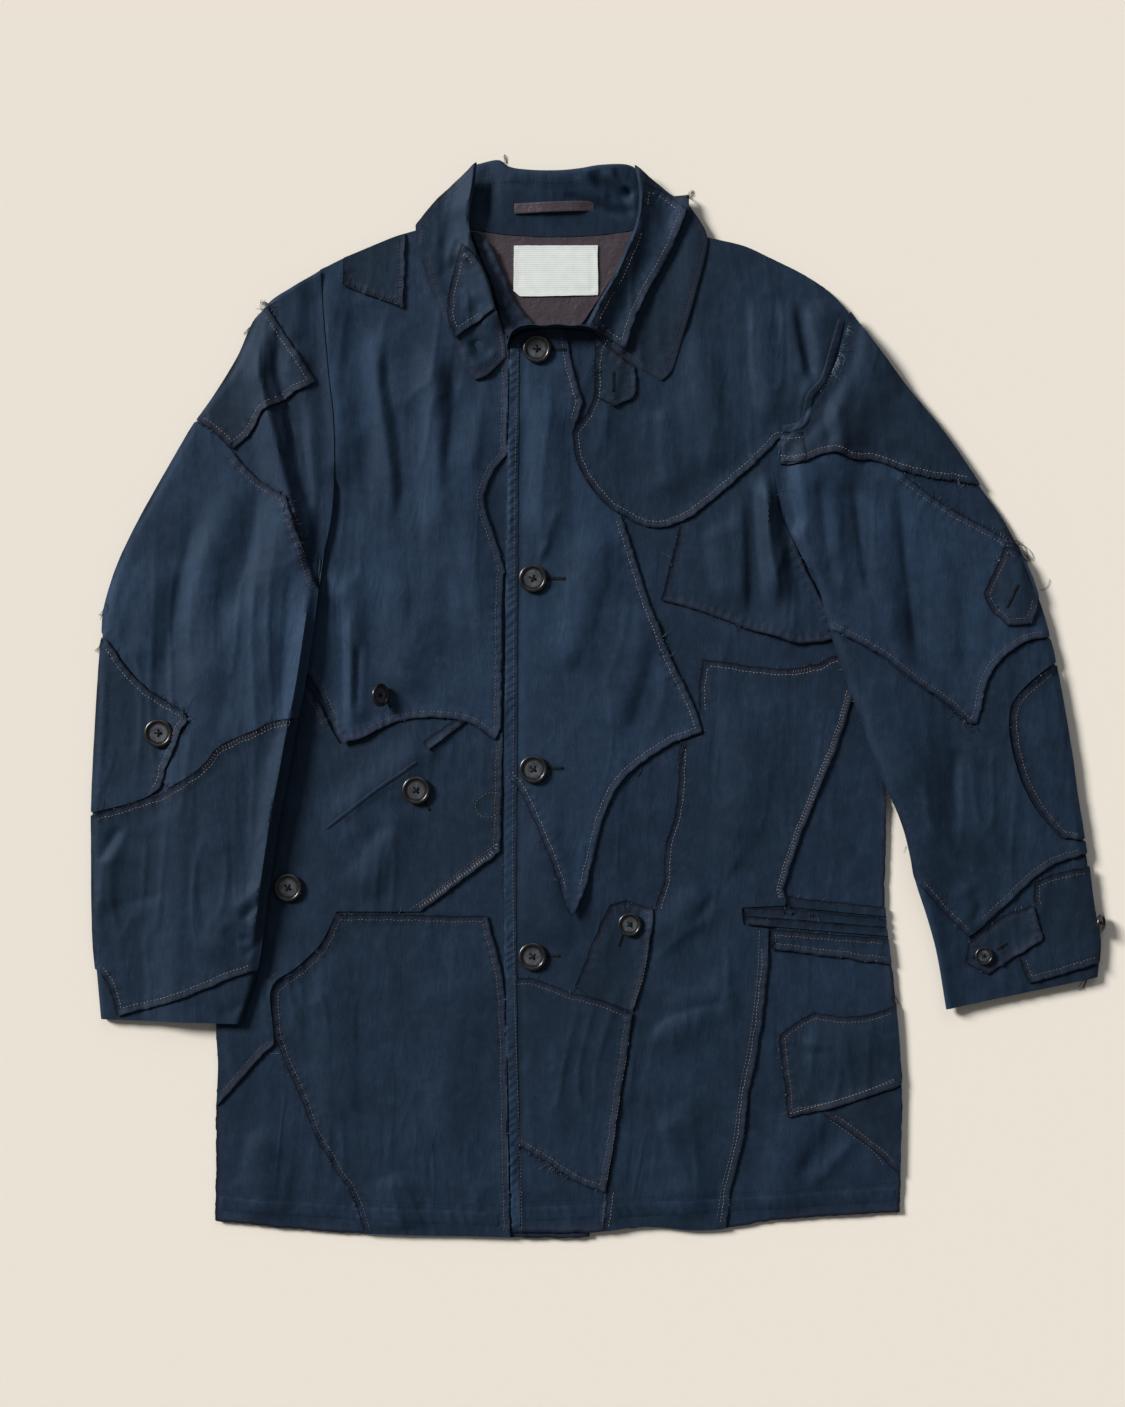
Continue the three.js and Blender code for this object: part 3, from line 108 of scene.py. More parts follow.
BODY_CREASES = [
    ([(374, 330), (378, 390), (388, 450), (396, 540)], 1.5, 10, 0.3),
    ([(386, 335), (390, 390), (400, 450), (404, 540)], -2.2, 7),
    ([(330, 590), (322, 700), (308, 800), (292, 900), (268, 1010)], -4.4, 12),
    ([(341, 590), (341, 660), (343, 738)], -3.4, 6, -0.2),
    ([(351, 600), (351, 660), (352, 735)], 1.6, 5, 0.3),
    ([(359, 640), (358, 680), (357, 715)], -2.2, 4),
    ([(404, 500), (410, 570), (414, 640)], -1.0, 5),
    ([(444, 560), (450, 630), (446, 700)], -1.2, 6),
    ([(376, 325), (380, 390), (392, 470), (396, 540)], 0.9, 6),
    ([(440, 350), (441, 420), (438, 490)], 1.7, 10, 0.3),
    ([(454, 345), (452, 400), (448, 480)], -2.2, 9),
    ([(436, 350), (437, 430), (441, 520)], 0.9, 6),
    ([(412, 440), (418, 540), (420, 640)], -1.3, 9),
    ([(462, 560), (470, 640), (466, 700)], -1.3, 8),
    ([(363, 560), (370, 640), (366, 720)], -1.2, 8),
    ([(340, 600), (338, 660), (332, 720)], -1.4, 7),
    ([(358, 420), (356, 470), (362, 540)], 0.7, 6),
    ([(480, 400), (478, 440), (470, 480)], 0.8, 6),
    ([(560, 505), (549, 535), (541, 562)], 1.1, 4),
    ([(548, 540), (543, 555), (538, 565)], 0.9, 3),
    ([(530, 390), (526, 450), (524, 520)], -0.9, 7),
    ([(566, 420), (570, 470), (580, 520)], -0.9, 7),
    ([(612, 560), (600, 620), (570, 680), (545, 715)], -1.2, 8),
    ([(632, 590), (622, 640), (600, 700)], 0.9, 6),
    ([(655, 640), (645, 690), (628, 735)], -1.3, 7),
    ([(668, 662), (662, 700), (650, 738)], 0.9, 5),
    ([(600, 700), (575, 730), (556, 760)], 0.8, 8),
    ([(585, 760), (570, 800), (560, 850)], -0.9, 8),
    ([(652, 382), (654, 430), (658, 490)], -1.3, 8),
    ([(681, 380), (688, 430), (690, 500)], 0.9, 8),
    ([(745, 306), (748, 360), (752, 430)], -1.6, 8),
    ([(722, 300), (730, 380), (738, 450)], -0.9, 8),
    ([(784, 290), (790, 350), (788, 420)], 1.0, 6),
    ([(790, 300), (795, 335), (803, 385)], 2.6, 6, 0.4),
    ([(797, 302), (803, 335), (812, 385)], -3.4, 5),
    ([(806, 300), (812, 330), (822, 372)], 0.9, 5),
    ([(752, 478), (754, 550), (756, 632)], -2.6, 5, -0.2),
    ([(740, 480), (743, 550), (745, 625)], 1.8, 6, 0.4),
    ([(764, 470), (769, 540), (780, 606)], 3.0, 5, 0.4),
    ([(786, 488), (795, 540), (806, 602)], -5.0, 7, -0.3),
    ([(735, 500), (738, 560), (742, 610)], 1.0, 6),
    ([(700, 520), (704, 560), (708, 600)], -0.9, 7),
    ([(686, 545), (684, 580), (682, 600)], 0.8, 6),
    ([(770, 690), (772, 740), (764, 800)], 0.8, 10),
    ([(720, 690), (714, 760), (700, 840)], -0.8, 10),
    ([(752, 868), (738, 876), (722, 888), (690, 925)], -1.9, 6),
    ([(742, 846), (730, 870), (716, 900)], 1.0, 6),
    ([(637, 1037), (665, 1016), (700, 1005), (735, 1000)], -2.0, 7),
    ([(650, 966), (680, 935), (712, 915)], 0.9, 5),
    ([(652, 1108), (664, 1150), (676, 1192)], -1.8, 8),
    ([(682, 1090), (694, 1140), (700, 1200)], 1.0, 8),
    ([(794, 1182), (820, 1150), (853, 1116)], -2.4, 6),
    ([(806, 1190), (836, 1158), (862, 1130)], 1.6, 6),
    ([(780, 1046), (800, 1050), (828, 1056)], -1.3, 4),
    ([(782, 1038), (804, 1042), (834, 1046)], 0.9, 4),
    ([(756, 1075), (772, 1082), (778, 1090)], -1.0, 4),
    ([(410, 776), (377, 800), (330, 836)], -1.2, 7),
    ([(520, 341), (560, 340), (600, 345)], -3.4, 11),
    ([(452, 730), (438, 745), (425, 757)], 1.1, 5),
    ([(486, 756), (468, 772), (452, 782)], -0.9, 6),
    ([(497, 790), (478, 797), (470, 812), (484, 818), (503, 812)], 0.7, 3),
    ([(392, 818), (360, 848), (330, 880)], -1.2, 7),
    ([(360, 760), (340, 775), (322, 800)], -1.4, 6),
    ([(300, 920), (310, 906), (324, 896)], -1.0, 5),
    ([(399, 922), (402, 955), (400, 992)], -0.9, 5),
    ([(384, 930), (388, 970), (392, 1010)], 0.6, 6),
    ([(360, 940), (366, 1010), (380, 1080)], -0.7, 10),
    ([(470, 930), (474, 1000), (470, 1080)], 0.7, 12),
    ([(415, 1060), (424, 1130), (422, 1190)], -0.8, 10),
    ([(246, 1096), (244, 1140), (240, 1190)], -0.9, 8),
    ([(290, 1130), (300, 1170), (296, 1215)], -1.0, 8),
    ([(556, 1030), (560, 1090), (566, 1140)], 0.8, 11),
    ([(590, 1040), (590, 1100), (584, 1160)], -0.7, 10),
    ([(840, 700), (820, 780), (806, 850)], 0.7, 10),
    ([(862, 760), (856, 820), (850, 880)], -0.6, 8),
    ([(360, 290), (372, 300), (390, 308)], 0.5, 4),
]
COLLAR_FOLDS = [
    ([(478, 170), (472, 210), (476, 250), (489, 285), (499, 312)], 11, 13),
    ([(634, 168), (638, 205), (627, 248), (610, 285), (592, 322)], 8.4, 13),
    ([(688, 208), (676, 236), (660, 265), (643, 305), (626, 345)], 2.6, 7, 0.4),
    ([(450, 330), (468, 362), (490, 372)], 3.5, 12),
    ([(690, 215), (694, 260), (684, 320)], 2, 12),
]
COLLAR_CREASES = [
    ([(441, 236), (446, 262), (444, 285)], -1.0, 5),
    ([(425, 250), (438, 268), (456, 280)], 0.7, 4),
    ([(456, 214), (462, 236), (458, 252)], -0.8, 5),
    ([(468, 246), (462, 256), (470, 268)], 1.4, 3),
    ([(460, 236), (452, 250), (447, 272)], 1.1, 4, 0.3),
    ([(436, 236), (444, 254), (458, 262)], 0.8, 4, 0.3),
    ([(462, 290), (470, 300), (468, 316)], 0.9, 3.5, 0.3),
    ([(482, 300), (478, 312), (482, 326)], -1.0, 3.5),
    ([(474, 340), (480, 352), (492, 358)], -1.8, 5),
    ([(462, 346), (478, 366), (500, 352)], 1.2, 4),
    ([(660, 200), (655, 230), (648, 262)], 0.6, 7),
    ([(674, 230), (662, 270), (648, 300)], -0.7, 4),
    ([(612, 300), (622, 318), (620, 340)], 0.8, 5),
    ([(640, 340), (652, 352), (664, 360)], -0.7, 5),
]
STAND_CREASES = [
    ([(582, 168), (600, 186), (634, 206)], -4.4, 4.2, -0.2),
    ([(574, 176), (594, 195), (632, 214)], 2.6, 4),
    ([(600, 164), (614, 180), (632, 192)], 3.4, 3.8, 0.4),
    ([(604, 196), (618, 208), (634, 216)], -2.0, 3.2),
    ([(562, 196), (590, 206), (626, 220)], -2.4, 3.5),
    ([(610, 170), (622, 184), (634, 200)], -2.6, 2.8),
    ([(528, 174), (534, 180), (544, 184)], -0.8, 3),
    ([(550, 173), (553, 180), (562, 184)], 0.8, 3),
    ([(488, 160), (486, 180), (484, 204), (486, 228)], -2.6, 8),
    ([(500, 190), (515, 186), (540, 188)], -0.5, 2),
]
RIGHT_SLEEVE_FOLDS = [
    ([(292, 310), (279, 380), (286, 462)], 2.8, 15),
    ([(303, 420), (311, 500), (314, 575)], 3.2, 12),
    ([(233, 480), (214, 560), (196, 660)], 3, 15),
    ([(168, 560), (150, 620), (142, 672)], 2.4, 15),
    ([(272, 600), (266, 680), (262, 760)], 2.2, 16),
    ([(118, 840), (108, 880), (102, 915)], 2, 13),
    ([(252, 880), (234, 925), (205, 958)], 2.4, 14),
]
RIGHT_SLEEVE_CREASES = [
    ([(285, 316), (279, 348), (280, 375), (291, 415), (301, 462), (311, 507), (317, 548)], -7.5, 7, -0.25),
    ([(268, 322), (262, 352), (262, 380), (273, 420), (284, 466), (296, 512), (306, 556)], 5.2, 8, 0.5),
    ([(262, 392), (268, 440), (282, 500), (296, 556)], 1.7, 6),
    ([(296, 335), (302, 345), (312, 344)], -1.6, 3),
    ([(292, 352), (303, 362), (314, 356)], 1.1, 4),
    ([(312, 585), (302, 690), (284, 770), (271, 855), (251, 975)], 7.5, 6.5, 0.2),
    ([(300, 390), (303, 450), (306, 500)], -2.2, 6),
    ([(289, 345), (286, 400), (292, 470)], 1.0, 6),
    ([(262, 480), (252, 540), (238, 620)], -1.5, 9),
    ([(205, 500), (186, 560), (172, 640), (160, 690)], -1.9, 9),
    ([(214, 520), (200, 590), (188, 670)], 1.0, 8),
    ([(148, 560), (128, 610), (118, 650)], 0.8, 8),
    ([(292, 560), (288, 640), (280, 715)], -1.4, 7),
    ([(236, 650), (228, 700), (214, 745)], -0.9, 9),
    ([(243, 920), (257, 906), (272, 890)], -2.0, 4),
    ([(226, 924), (240, 938), (257, 936)], -1.5, 4),
    ([(246, 956), (258, 944), (266, 932)], -1.6, 4),
    ([(236, 912), (252, 896), (264, 880)], 1.3, 5),
    ([(123, 824), (112, 842), (101, 862)], -1.9, 5),
    ([(134, 822), (122, 846), (112, 868)], 1.0, 5),
    ([(110, 906), (140, 900), (170, 888)], -0.8, 6),
    ([(200, 800), (196, 860), (204, 920)], -0.8, 12),
    ([(256, 760), (250, 820), (244, 870)], -0.8, 10),
    ([(150, 830), (148, 880), (156, 930)], 0.7, 12),
    ([(168, 704), (160, 722), (150, 742)], 0.6, 6),
    ([(250, 1000), (236, 1008), (220, 1012)], -1.0, 5),
]
LEFT_SLEEVE_FOLDS = [
    ([(836, 372), (838, 420), (846, 500)], 2.4, 14),
    ([(800, 450), (812, 510), (832, 580)], 3, 13),
    ([(876, 500), (890, 570), (896, 640)], 2.2, 18),
    ([(862, 665), (888, 730), (912, 800)], 2, 15),
    ([(962, 880), (974, 910), (966, 930)], 1.8, 12),
    ([(1040, 500), (1012, 600), (1018, 660)], 2, 14),
]
LEFT_SLEEVE_CREASES = [
    ([(792, 478), (800, 530), (816, 582)], 1.6, 6),
    ([(812, 392), (822, 420), (830, 450)], -1.8, 5),
    ([(832, 400), (838, 430), (842, 455)], 1.2, 5),
    ([(818, 474), (822, 530), (832, 590)], -1.8, 6),
    ([(832, 480), (836, 540), (846, 610)], 1.0, 6),
    ([(852, 470), (858, 540), (868, 600)], -2.0, 6, -0.3),
    ([(876, 490), (882, 580), (892, 660)], 1.0, 9),
    ([(896, 470), (906, 580), (918, 680)], -2.0, 7, -0.3),
    ([(850, 330), (852, 390), (850, 440)], -1.1, 8),
    ([(880, 380), (886, 420), (890, 455)], 0.8, 9),
    ([(940, 530), (946, 600), (950, 680)], 0.8, 11),
    ([(965, 560), (962, 620), (966, 690)], -0.8, 9),
    ([(930, 730), (946, 790), (950, 840)], -0.9, 10),
    ([(896, 720), (918, 780), (936, 850)], 0.9, 10),
    ([(955, 745), (952, 790), (958, 830)], -1.2, 5),
    ([(985, 770), (990, 820), (1000, 860)], 0.7, 10),
    ([(968, 884), (978, 906), (970, 926)], -1.8, 5),
    ([(1000, 916), (984, 930), (970, 940)], -1.0, 5),
    ([(1036, 720), (1044, 760), (1056, 800)], 0.7, 9),
    ([(948, 960), (960, 985), (990, 992)], -0.8, 6),
]
SLEEVE_EDGES = {
    "right": {
        "armhole": [(320, 272), (323, 318), (328, 375), (333, 420), (334, 465), (331, 518), (322, 560)],
        "outer": [(320, 272), (293, 289), (266, 308), (232, 374), (197, 424), (153, 501), (126, 552),
                  (108, 603), (103, 650), (98, 730), (94, 817), (95, 880), (95, 925), (98, 967),
                  (102.5, 1018)],
        "inner": [(322, 560), (319, 596), (313, 643), (307, 682), (296, 739), (289, 779), (281, 820),
                  (272, 880), (264, 940), (258, 975), (243, 1022)],
        "folds": RIGHT_SLEEVE_FOLDS,
        "creases": RIGHT_SLEEVE_CREASES,
    },
    "left": {
        "armhole": [(848, 314), (840, 350), (829, 382), (815, 404), (800, 426), (781, 444), (776, 478),
                  (784, 519)],
        "outer": [(848, 314), (885, 363), (915, 401), (946, 439), (977, 485), (1006, 527), (1026, 574),
                  (1036, 601), (1047, 637), (1056, 678), (1070, 761), (1076, 805), (1085, 858),
                  (1091, 905), (1098, 948), (1096, 976)],
        "inner": [(784, 519), (799, 555), (814, 580), (830, 637), (852, 701), (868, 744), (885, 790),
                  (897, 815), (906, 845), (913, 880), (924, 914), (934, 950), (944, 1008)],
        "folds": LEFT_SLEEVE_FOLDS,
        "creases": LEFT_SLEEVE_CREASES,
    },
}
PLACKET = [(510, 347), (506, 640), (504, 760), (504, 900), (507, 1020), (512, 1231)]

# Patches from the lowest to the highest: piece, CAD node, how many layers it lies on, thread and tone. The
# light tone is painted sheen: a lighter copy of the cotton where the sheen falls brighter.
RIGHT_FRONT = [
    ("waist_patch", "waist_panel_right", 1, "tan", "patch"),
    ("chest_patch", "chest_panel_right", 1, "tan", "light"),
    ("skirt_patch", "skirt_panel_right", 1, "tan", "patch"),
    ("shoulder_scrap", "shoulder_patch_right", 2, "navy", "dark"),
    ("slant_welt", "slant_welt_right", 2, "navy", "patch"),
]
LEFT_FRONT = [
    ("corner_scrap", "corner_patch_left", 1, "tan", "dark"),
    ("side_patch", "side_panel_left", 1, "pale", "patch"),
    ("button_scrap", "button_patch_left", 1, "navy", "dark"),
    ("lower_centre_patch", "lower_centre_panel_left", 1, "tan", "patch"),
    ("chest_flap", "chest_flap_left", 1, "navy", "patch"),
    ("tongue_patch", "centre_tongue_left", 1, "pale", "light"),
    ("yoke_patch", "yoke_panel_left", 1, "pale", "patch"),
    ("hip_scrap", "hip_patch_left", 1, "tan", "dark"),
    ("pocket_upper_band", "pocket_band_upper", 1, "tan", "dark"),
    ("pocket_upper_welt", "pocket_welt_upper", 1, "navy", "patch"),
    ("pocket_lower_welt", "pocket_welt_lower", 1, "navy", "patch"),
    ("pocket_lower_band", "pocket_band_lower", 1, "tan", "patch"),
    ("throat_tab", "throat_tab", 2, "navy", "dark"),
]
# The light tone here is painted sheen, as on the fronts.
SLEEVE_PATCHES = {
    "right": [
        ("upper_arm_patch_right", "upper_arm_panel_right", 1, "tan", "light"),
        ("cap_scrap_right", "cap_patch_right", 1, "pale", "dark"),
        ("elbow_scrap_right", "elbow_patch_right", 1, "pale", "patch"),
        ("forearm_patch_right", "forearm_panel_right", 1, "pale", "patch"),
    ],
    "left": [
        ("forearm_patch_left", "forearm_panel_left", 1, "tan", "patch"),
        ("upper_arm_patch_left", "upper_arm_panel_left", 1, "tan", "light"),
        ("cap_patch_left", "cap_panel_left", 1, "pale", "dark"),
        ("elbow_scrap_left", "elbow_patch_left", 1, "tan", "patch"),
        ("cuff_scrap_left", "cuff_patch_left", 1, "tan", "dark"),
        ("cuff_tab_left", "cuff_tab_left", 1, "navy", "dark"),
        ("sleeve_tab_left", "tab_patch_left", 2, "tan", "dark"),
    ],
}
COLLAR_CLOTHS = [
    ("leaf_right", "collar_leaf_right", 0, "navy", "patch"),
    ("leaf_scrap_right", "collar_patch_right", 1, "pale", "patch"),
    ("leaf_left", "collar_leaf_left", 0, "navy", "dark"),
    ("leaf_scrap_left", "collar_patch_left", 1, "pale", "patch"),
]
# Where the raw edges are worn to a fringe: grid place, reach in grid squares, and how much thicker it is
RAGGED = [
    ((293, 525), 30, 2.5), ((104, 600), 14, 5.0), ((1018, 545), 22, 4.0), ((940, 500), 60, 1.5),
    ((970, 715), 26, 2.0), ((268, 306), 12, 3.0), ((689, 196), 8, 5.0), ((96, 806), 14, 3.0),
    ((186, 712), 16, 2.0),
    ((660, 650), 50, 1.2), ((290, 720), 26, 1.5), ((545, 1165), 30, 2.0), ((503, 163), 8, 4.0),
    ((1090, 960), 16, 2.0),
]
# Bundles of long ravelled threads: root, tip, how many, and how far they spread in millimetres
TAILS = [
    ((1008, 540), (1030, 561), 9, 1.2), ((1000, 528), (1012, 546), 7, 1.5), ((686, 200), (692, 191), 5, 1.0),
    ((106, 604), (102, 616), 6, 1.6), ((104, 640), (98, 651), 4, 1.4), ((270, 308), (263, 301), 6, 1.6),
    ((244, 333), (250, 328), 3, 1.0), ((506, 164), (504, 156), 4, 0.6), ((1078, 852), (1085, 858), 4, 1.0),
    ((1058, 836), (1066, 834), 3, 1.0), ((960, 716), (972, 730), 5, 2.0), ((641, 762), (636, 776), 2, 0.8),
    ((683, 742), (676, 760), 4, 1.5), ((1088, 976), (1078, 986), 5, 4.0), ((893, 996), (898, 1004), 3, 1.0),
    ((290, 505), (297, 522), 6, 2.0), ((296, 522), (302, 545), 7, 2.0), ((186, 708), (190, 722), 4, 1.4),
    ((1040, 590), (1050, 578), 1, 0.5),
]
# Pale fringes: the grid line that they hang from, how many threads, and their length in millimetres
FRINGES = [
    ([(848, 324), (843, 340), (837, 360), (829, 378)], 64, 5.4),
    ([(292, 505), (299, 525), (304, 548)], 24, 3.6),
]

# Plan geometry


def plan(points):
    """Grid points as places in plan, in metres."""
    return (np.asarray(points, float) - GRID_CENTRE) * (GRID, -GRID)


def smoothstep(low, high, value):
    t = np.clip((value - low) / (high - low), 0, 1)
    return t * t * (3 - 2 * t)


def curve_through(points, step):
    """A smooth line through places, with points about one step apart."""
    p = np.asarray(points, float)
    q = np.vstack([2 * p[0] - p[1], p, 2 * p[-1] - p[-2]])
    out = [p[:1]]
    for a, b, c, d in zip(q, q[1:], q[2:], q[3:]):
        before, here, after = (math.sqrt(np.linalg.norm(v)) + 1e-9 for v in (b - a, c - b, d - c))
        leave = here * ((b - a) / before - (c - a) / (before + here) + (c - b) / here)
        arrive = here * ((c - b) / here - (d - b) / (here + after) + (d - c) / after)
        count = max(1, round(np.linalg.norm(c - b) / step))
        t = (np.arange(1, count + 1) / count)[:, None]
        out.append((2 * t**3 - 3 * t**2 + 1) * b + (t**3 - 2 * t**2 + t) * leave
                   + (3 * t**2 - 2 * t**3) * c + (t**3 - t**2) * arrive)
    return np.vstack(out)


def lengths_along(line):
    return np.concatenate([[0], np.cumsum(np.linalg.norm(np.diff(line, axis=0), axis=1))])


def points_along(line, shares):
    """The places at the given shares of a line's length."""
    s = lengths_along(line)
    return np.column_stack([np.interp(np.asarray(shares) * s[-1], s, line[:, k]) for k in (0, 1)])


def directions(line):
    """At each point of a line, the unit vector along it and the one to its left, which is the picture's right
    where the line runs down."""
    along = np.gradient(line, axis=0)
    along /= np.linalg.norm(along, axis=1)[:, None]
    return along, np.column_stack([-along[:, 1], along[:, 0]])


def nearest_on_line(line, p):
    """For each place: how far it is from an open line, its share along it, and its side, 1 on the left."""
    best = np.full(len(p), 1e9)
    along = np.zeros(len(p))
    side = np.ones(len(p))
    for i, (a, b) in enumerate(zip(line, line[1:])):
        d = b - a
        t = np.clip((p - a) @ d / max(d @ d, 1e-12), 0, 1)
        r = np.hypot(*(p - a - t[:, None] * d).T)
        near = r < best
        best[near] = r[near]
        along[near] = i + t[near]
        side[near] = np.sign(d[0] * (p[near, 1] - a[1]) - d[1] * (p[near, 0] - a[0]))
    return best, along / (len(line) - 1), side


def nearest_sample(samples, p):
    """The nearest sample to each place, and how far it is."""
    index = np.empty(len(p), int)
    distance = np.empty(len(p))
    for k in range(0, len(p), 1500):
        gap = ((p[k:k + 1500, None] - samples[None]) ** 2).sum(2)
        index[k:k + 1500] = gap.argmin(1)
        distance[k:k + 1500] = np.sqrt(gap.min(1))
    return index, distance


def is_inside(edge, p):
    """Which places lie inside a closed cut edge."""
    inside = np.zeros(len(p), bool)
    for a, b in zip(edge, np.roll(edge, -1, axis=0)):
        if a[1] != b[1]:
            crosses = (a[1] > p[:, 1]) != (b[1] > p[:, 1])
            inside ^= crosses & (p[:, 0] < a[0] + (b[0] - a[0]) * (p[:, 1] - a[1]) / (b[1] - a[1]))
    return inside


def area_of(edge):
    x, y = edge.T
    return 0.5 * float(np.sum(x * np.roll(y, -1) - y * np.roll(x, -1)))


def noise(p, size, seed):
    """Smooth noise from -1 to 1, with features of about one size, which may differ across and along."""
    q = p / size
    cell = np.floor(q).astype(np.int64)
    f = q - cell
    u = f * f * (3 - 2 * f)

    def corner(dx, dy):
        h = ((cell[:, 0] + dx) * 374761393 + (cell[:, 1] + dy) * 668265263 + seed * 974634777) & 0xFFFFFFFF
        h = ((h ^ (h >> 13)) * 1274126177) & 0xFFFFFFFF
        return ((h ^ (h >> 16)) & 0xFFFF) / 32767.5 - 1

    low = corner(0, 0) * (1 - u[:, 0]) + corner(1, 0) * u[:, 0]
    high = corner(0, 1) * (1 - u[:, 0]) + corner(1, 1) * u[:, 0]
    return low * (1 - u[:, 1]) + high * u[:, 1]


def noise_along(s, size, seed):
    return noise(np.column_stack([s, np.zeros_like(s)]), size, seed)


def folds_at(folds, p, open_ends=False, crispness=2.0):
    """The height of a set of folds at each place. One that leans is steeper on the picture's right."""
    height = np.zeros(len(p))
    for crest, rise, half, *lean in folds:
        line = curve_through(plan(crest), 24 * MM)
        reach = 3 * half * MM
        near = np.all((p > line.min(0) - reach) & (p < line.max(0) + reach), axis=1)
        if near.any():
            distance, along, side = nearest_on_line(line, p[near])
            ends = 1 if open_ends else smoothstep(0, 0.22, along) * smoothstep(0, 0.22, 1 - along)
            half_here = half * MM * (1 - side * (lean[0] if lean else 0))
            height[near] += rise * MM * np.exp(-((distance / half_here) ** crispness)) * ends
    return height


def rumple(p, seed, amount=1.0):
    """The small unevenness of washed cotton: long soft ridges up the cloth, and finer ones between them."""
    turn = 0.35 * noise(p, 0.16, seed + 9)
    q = np.column_stack([p[:, 0] + turn * p[:, 1] * 0.25, p[:, 1]])
    long_ridge = 1 - np.abs(noise(q, np.array([0.030, 0.150]), seed))
    soft = noise(q, np.array([0.055, 0.12]), seed + 1)
    fine = noise(q, np.array([0.012, 0.030]), seed + 2) + 0.6 * noise(p, 0.009, seed + 3)
    thin = (1 - np.abs(noise(q, np.array([0.014, 0.075]), seed + 4))) ** 4
    some = np.clip(0.45 + 0.75 * noise(p, 0.08, seed + 5), 0, 1)
    return amount * MM * (0.55 * long_ridge + 0.5 * soft + 0.18 * fine + 1.3 * thin * some)


# The surfaces that cloth lies on


def body_relief(p):
    """How far the fronts stand above their lowest place."""
    rise = folds_at(BODY_FOLDS, p) + CREASE_RISE * folds_at(BODY_CREASES, p, crispness=CRISP) + rumple(p, 11)
    floor = 0.1 * MM
    return np.where(rise > 1 * MM, rise, floor + (1 * MM - floor) * np.exp((rise - 1 * MM) / (1 * MM)))


def upper_front_step(p):
    return OVERLAP * (1 - smoothstep(plan([(597, 0)])[0, 0], plan([(640, 0)])[0, 0], p[:, 0]))


def placket_groove(p):
    """The shallow groove beside the sewn strip along the front edge."""
    line = curve_through(plan(PLACKET), 20 * MM)
    distance = nearest_on_line(line, p)[0]
    return -0.5 * MM * np.exp(-(((distance - 12 * MM) / (3 * MM)) ** 2))


def right_front(p):
    return FRONT_TOP + body_relief(p)


def left_front(p):
    return FRONT_TOP + body_relief(p) + upper_front_step(p) + placket_groove(p)


def read_mesh(mesh):
    """A mesh's points and triangles."""
    mesh.calc_loop_triangles()
    points = np.empty(len(mesh.vertices) * 3, np.float32)
    mesh.vertices.foreach_get("co", points)
    triangles = np.empty(len(mesh.loop_triangles) * 3, np.int32)
    mesh.loop_triangles.foreach_get("vertices", triangles)
    return points.reshape(-1, 3), triangles.reshape(-1, 3)


def border(triangles):
    """The edges that only one triangle uses."""
    edges = np.vstack([triangles[:, [0, 1]], triangles[:, [1, 2]], triangles[:, [2, 0]]])
    used = {tuple(e) for e in edges.tolist()}
    return [e for e in used if (e[1], e[0]) not in used]


def cut_edge(node):
    """The outline of a CAD sheet in plan: the border of its top faces, without points on straight runs."""
    points, triangles = read_mesh(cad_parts[node].data)
    key = np.round(points.astype(float) / (0.01 * MM)).astype(np.int64)
    places, same = np.unique(key, axis=0, return_inverse=True)
    places = places * 0.01 * MM
    triangles = same.ravel()[triangles]
    a, b, c = (places[triangles[:, k]] for k in range(3))
    normal = np.cross(b - a, c - a)
    size = np.linalg.norm(normal, axis=1)
    top = triangles[(size > 1e-14) & (normal[:, 2] > 0.25 * size)]
    following = {}
    for start, stop in border(top):
        following.setdefault(start, []).append(stop)
    loops = []
    while following:
        start = next(iter(following))
        loop = [start]
        while loop[-1] in following:
            ways = following[loop[-1]]
            after = ways.pop()
            if not ways:
                del following[loop[-1]]
            if after == start:
                break
            loop.append(after)
        loops.append(places[loop][:, :2])
    outline = max(loops, key=lambda line: abs(area_of(line)) if len(line) > 2 else 0)
    if area_of(outline) <= 0:
        raise RuntimeError(f"the outline of {node} could not be read")
    return without_straight_points(outline, 0.12 * MM)


def without_straight_points(edge, tolerance):
    """A closed edge with only the points that shape it."""
    far = int(np.argmax(np.linalg.norm(edge - edge[0], axis=1)))

    def keep(low, high):
        a, b = edge[low], edge[high % len(edge)]
        middle = np.arange(low + 1, high)
        if not len(middle):
            return []
        d = (b - a) / max(np.linalg.norm(b - a), 1e-12)
        off = np.abs(np.cross(edge[middle] - a, d))
        worst = int(off.argmax())
        if off[worst] < tolerance:
            return []
        return keep(low, middle[worst]) + [int(middle[worst])] + keep(middle[worst], high)

    return edge[[0] + keep(0, far) + [far] + keep(far, len(edge))]


def smoothed_edge(edge, step, sharpest=34):
    """A cut edge drawn again with even small steps: its true corners stay, and the rest is curved."""
    before = edge - np.roll(edge, 1, axis=0)
    after = np.roll(edge, -1, axis=0) - edge
    turn = np.degrees(np.abs(np.arctan2(np.cross(before, after), (before * after).sum(1))))
    long_side = np.maximum(np.linalg.norm(before, axis=1), np.linalg.norm(after, axis=1)) > 45 * MM
    is_corner = (turn > sharpest) | (long_side & (turn > 14))
    if not is_corner.any():
        is_corner[0] = True
    corners = np.flatnonzero(is_corner)
    runs = []
    for k, start in enumerate(corners):
        stop = corners[(k + 1) % len(corners)]
        count = (stop - start) % len(edge) or len(edge)
        run = edge[(start + np.arange(count + 1)) % len(edge)]
        runs.append(curve_through(run, step)[:-1])
    return np.vstack(runs)


def even_steps(edge, step):
    closed = np.vstack([edge, edge[:1]])
    count = max(12, round(lengths_along(closed)[-1] / step))
    return points_along(closed, np.arange(count) / count)


def outward(edge):
    tangent = np.roll(edge, -1, axis=0) - np.roll(edge, 1, axis=0)
    tangent /= np.maximum(np.linalg.norm(tangent, axis=1), 1e-9)[:, None]
    return np.column_stack([tangent[:, 1], -tangent[:, 0]])


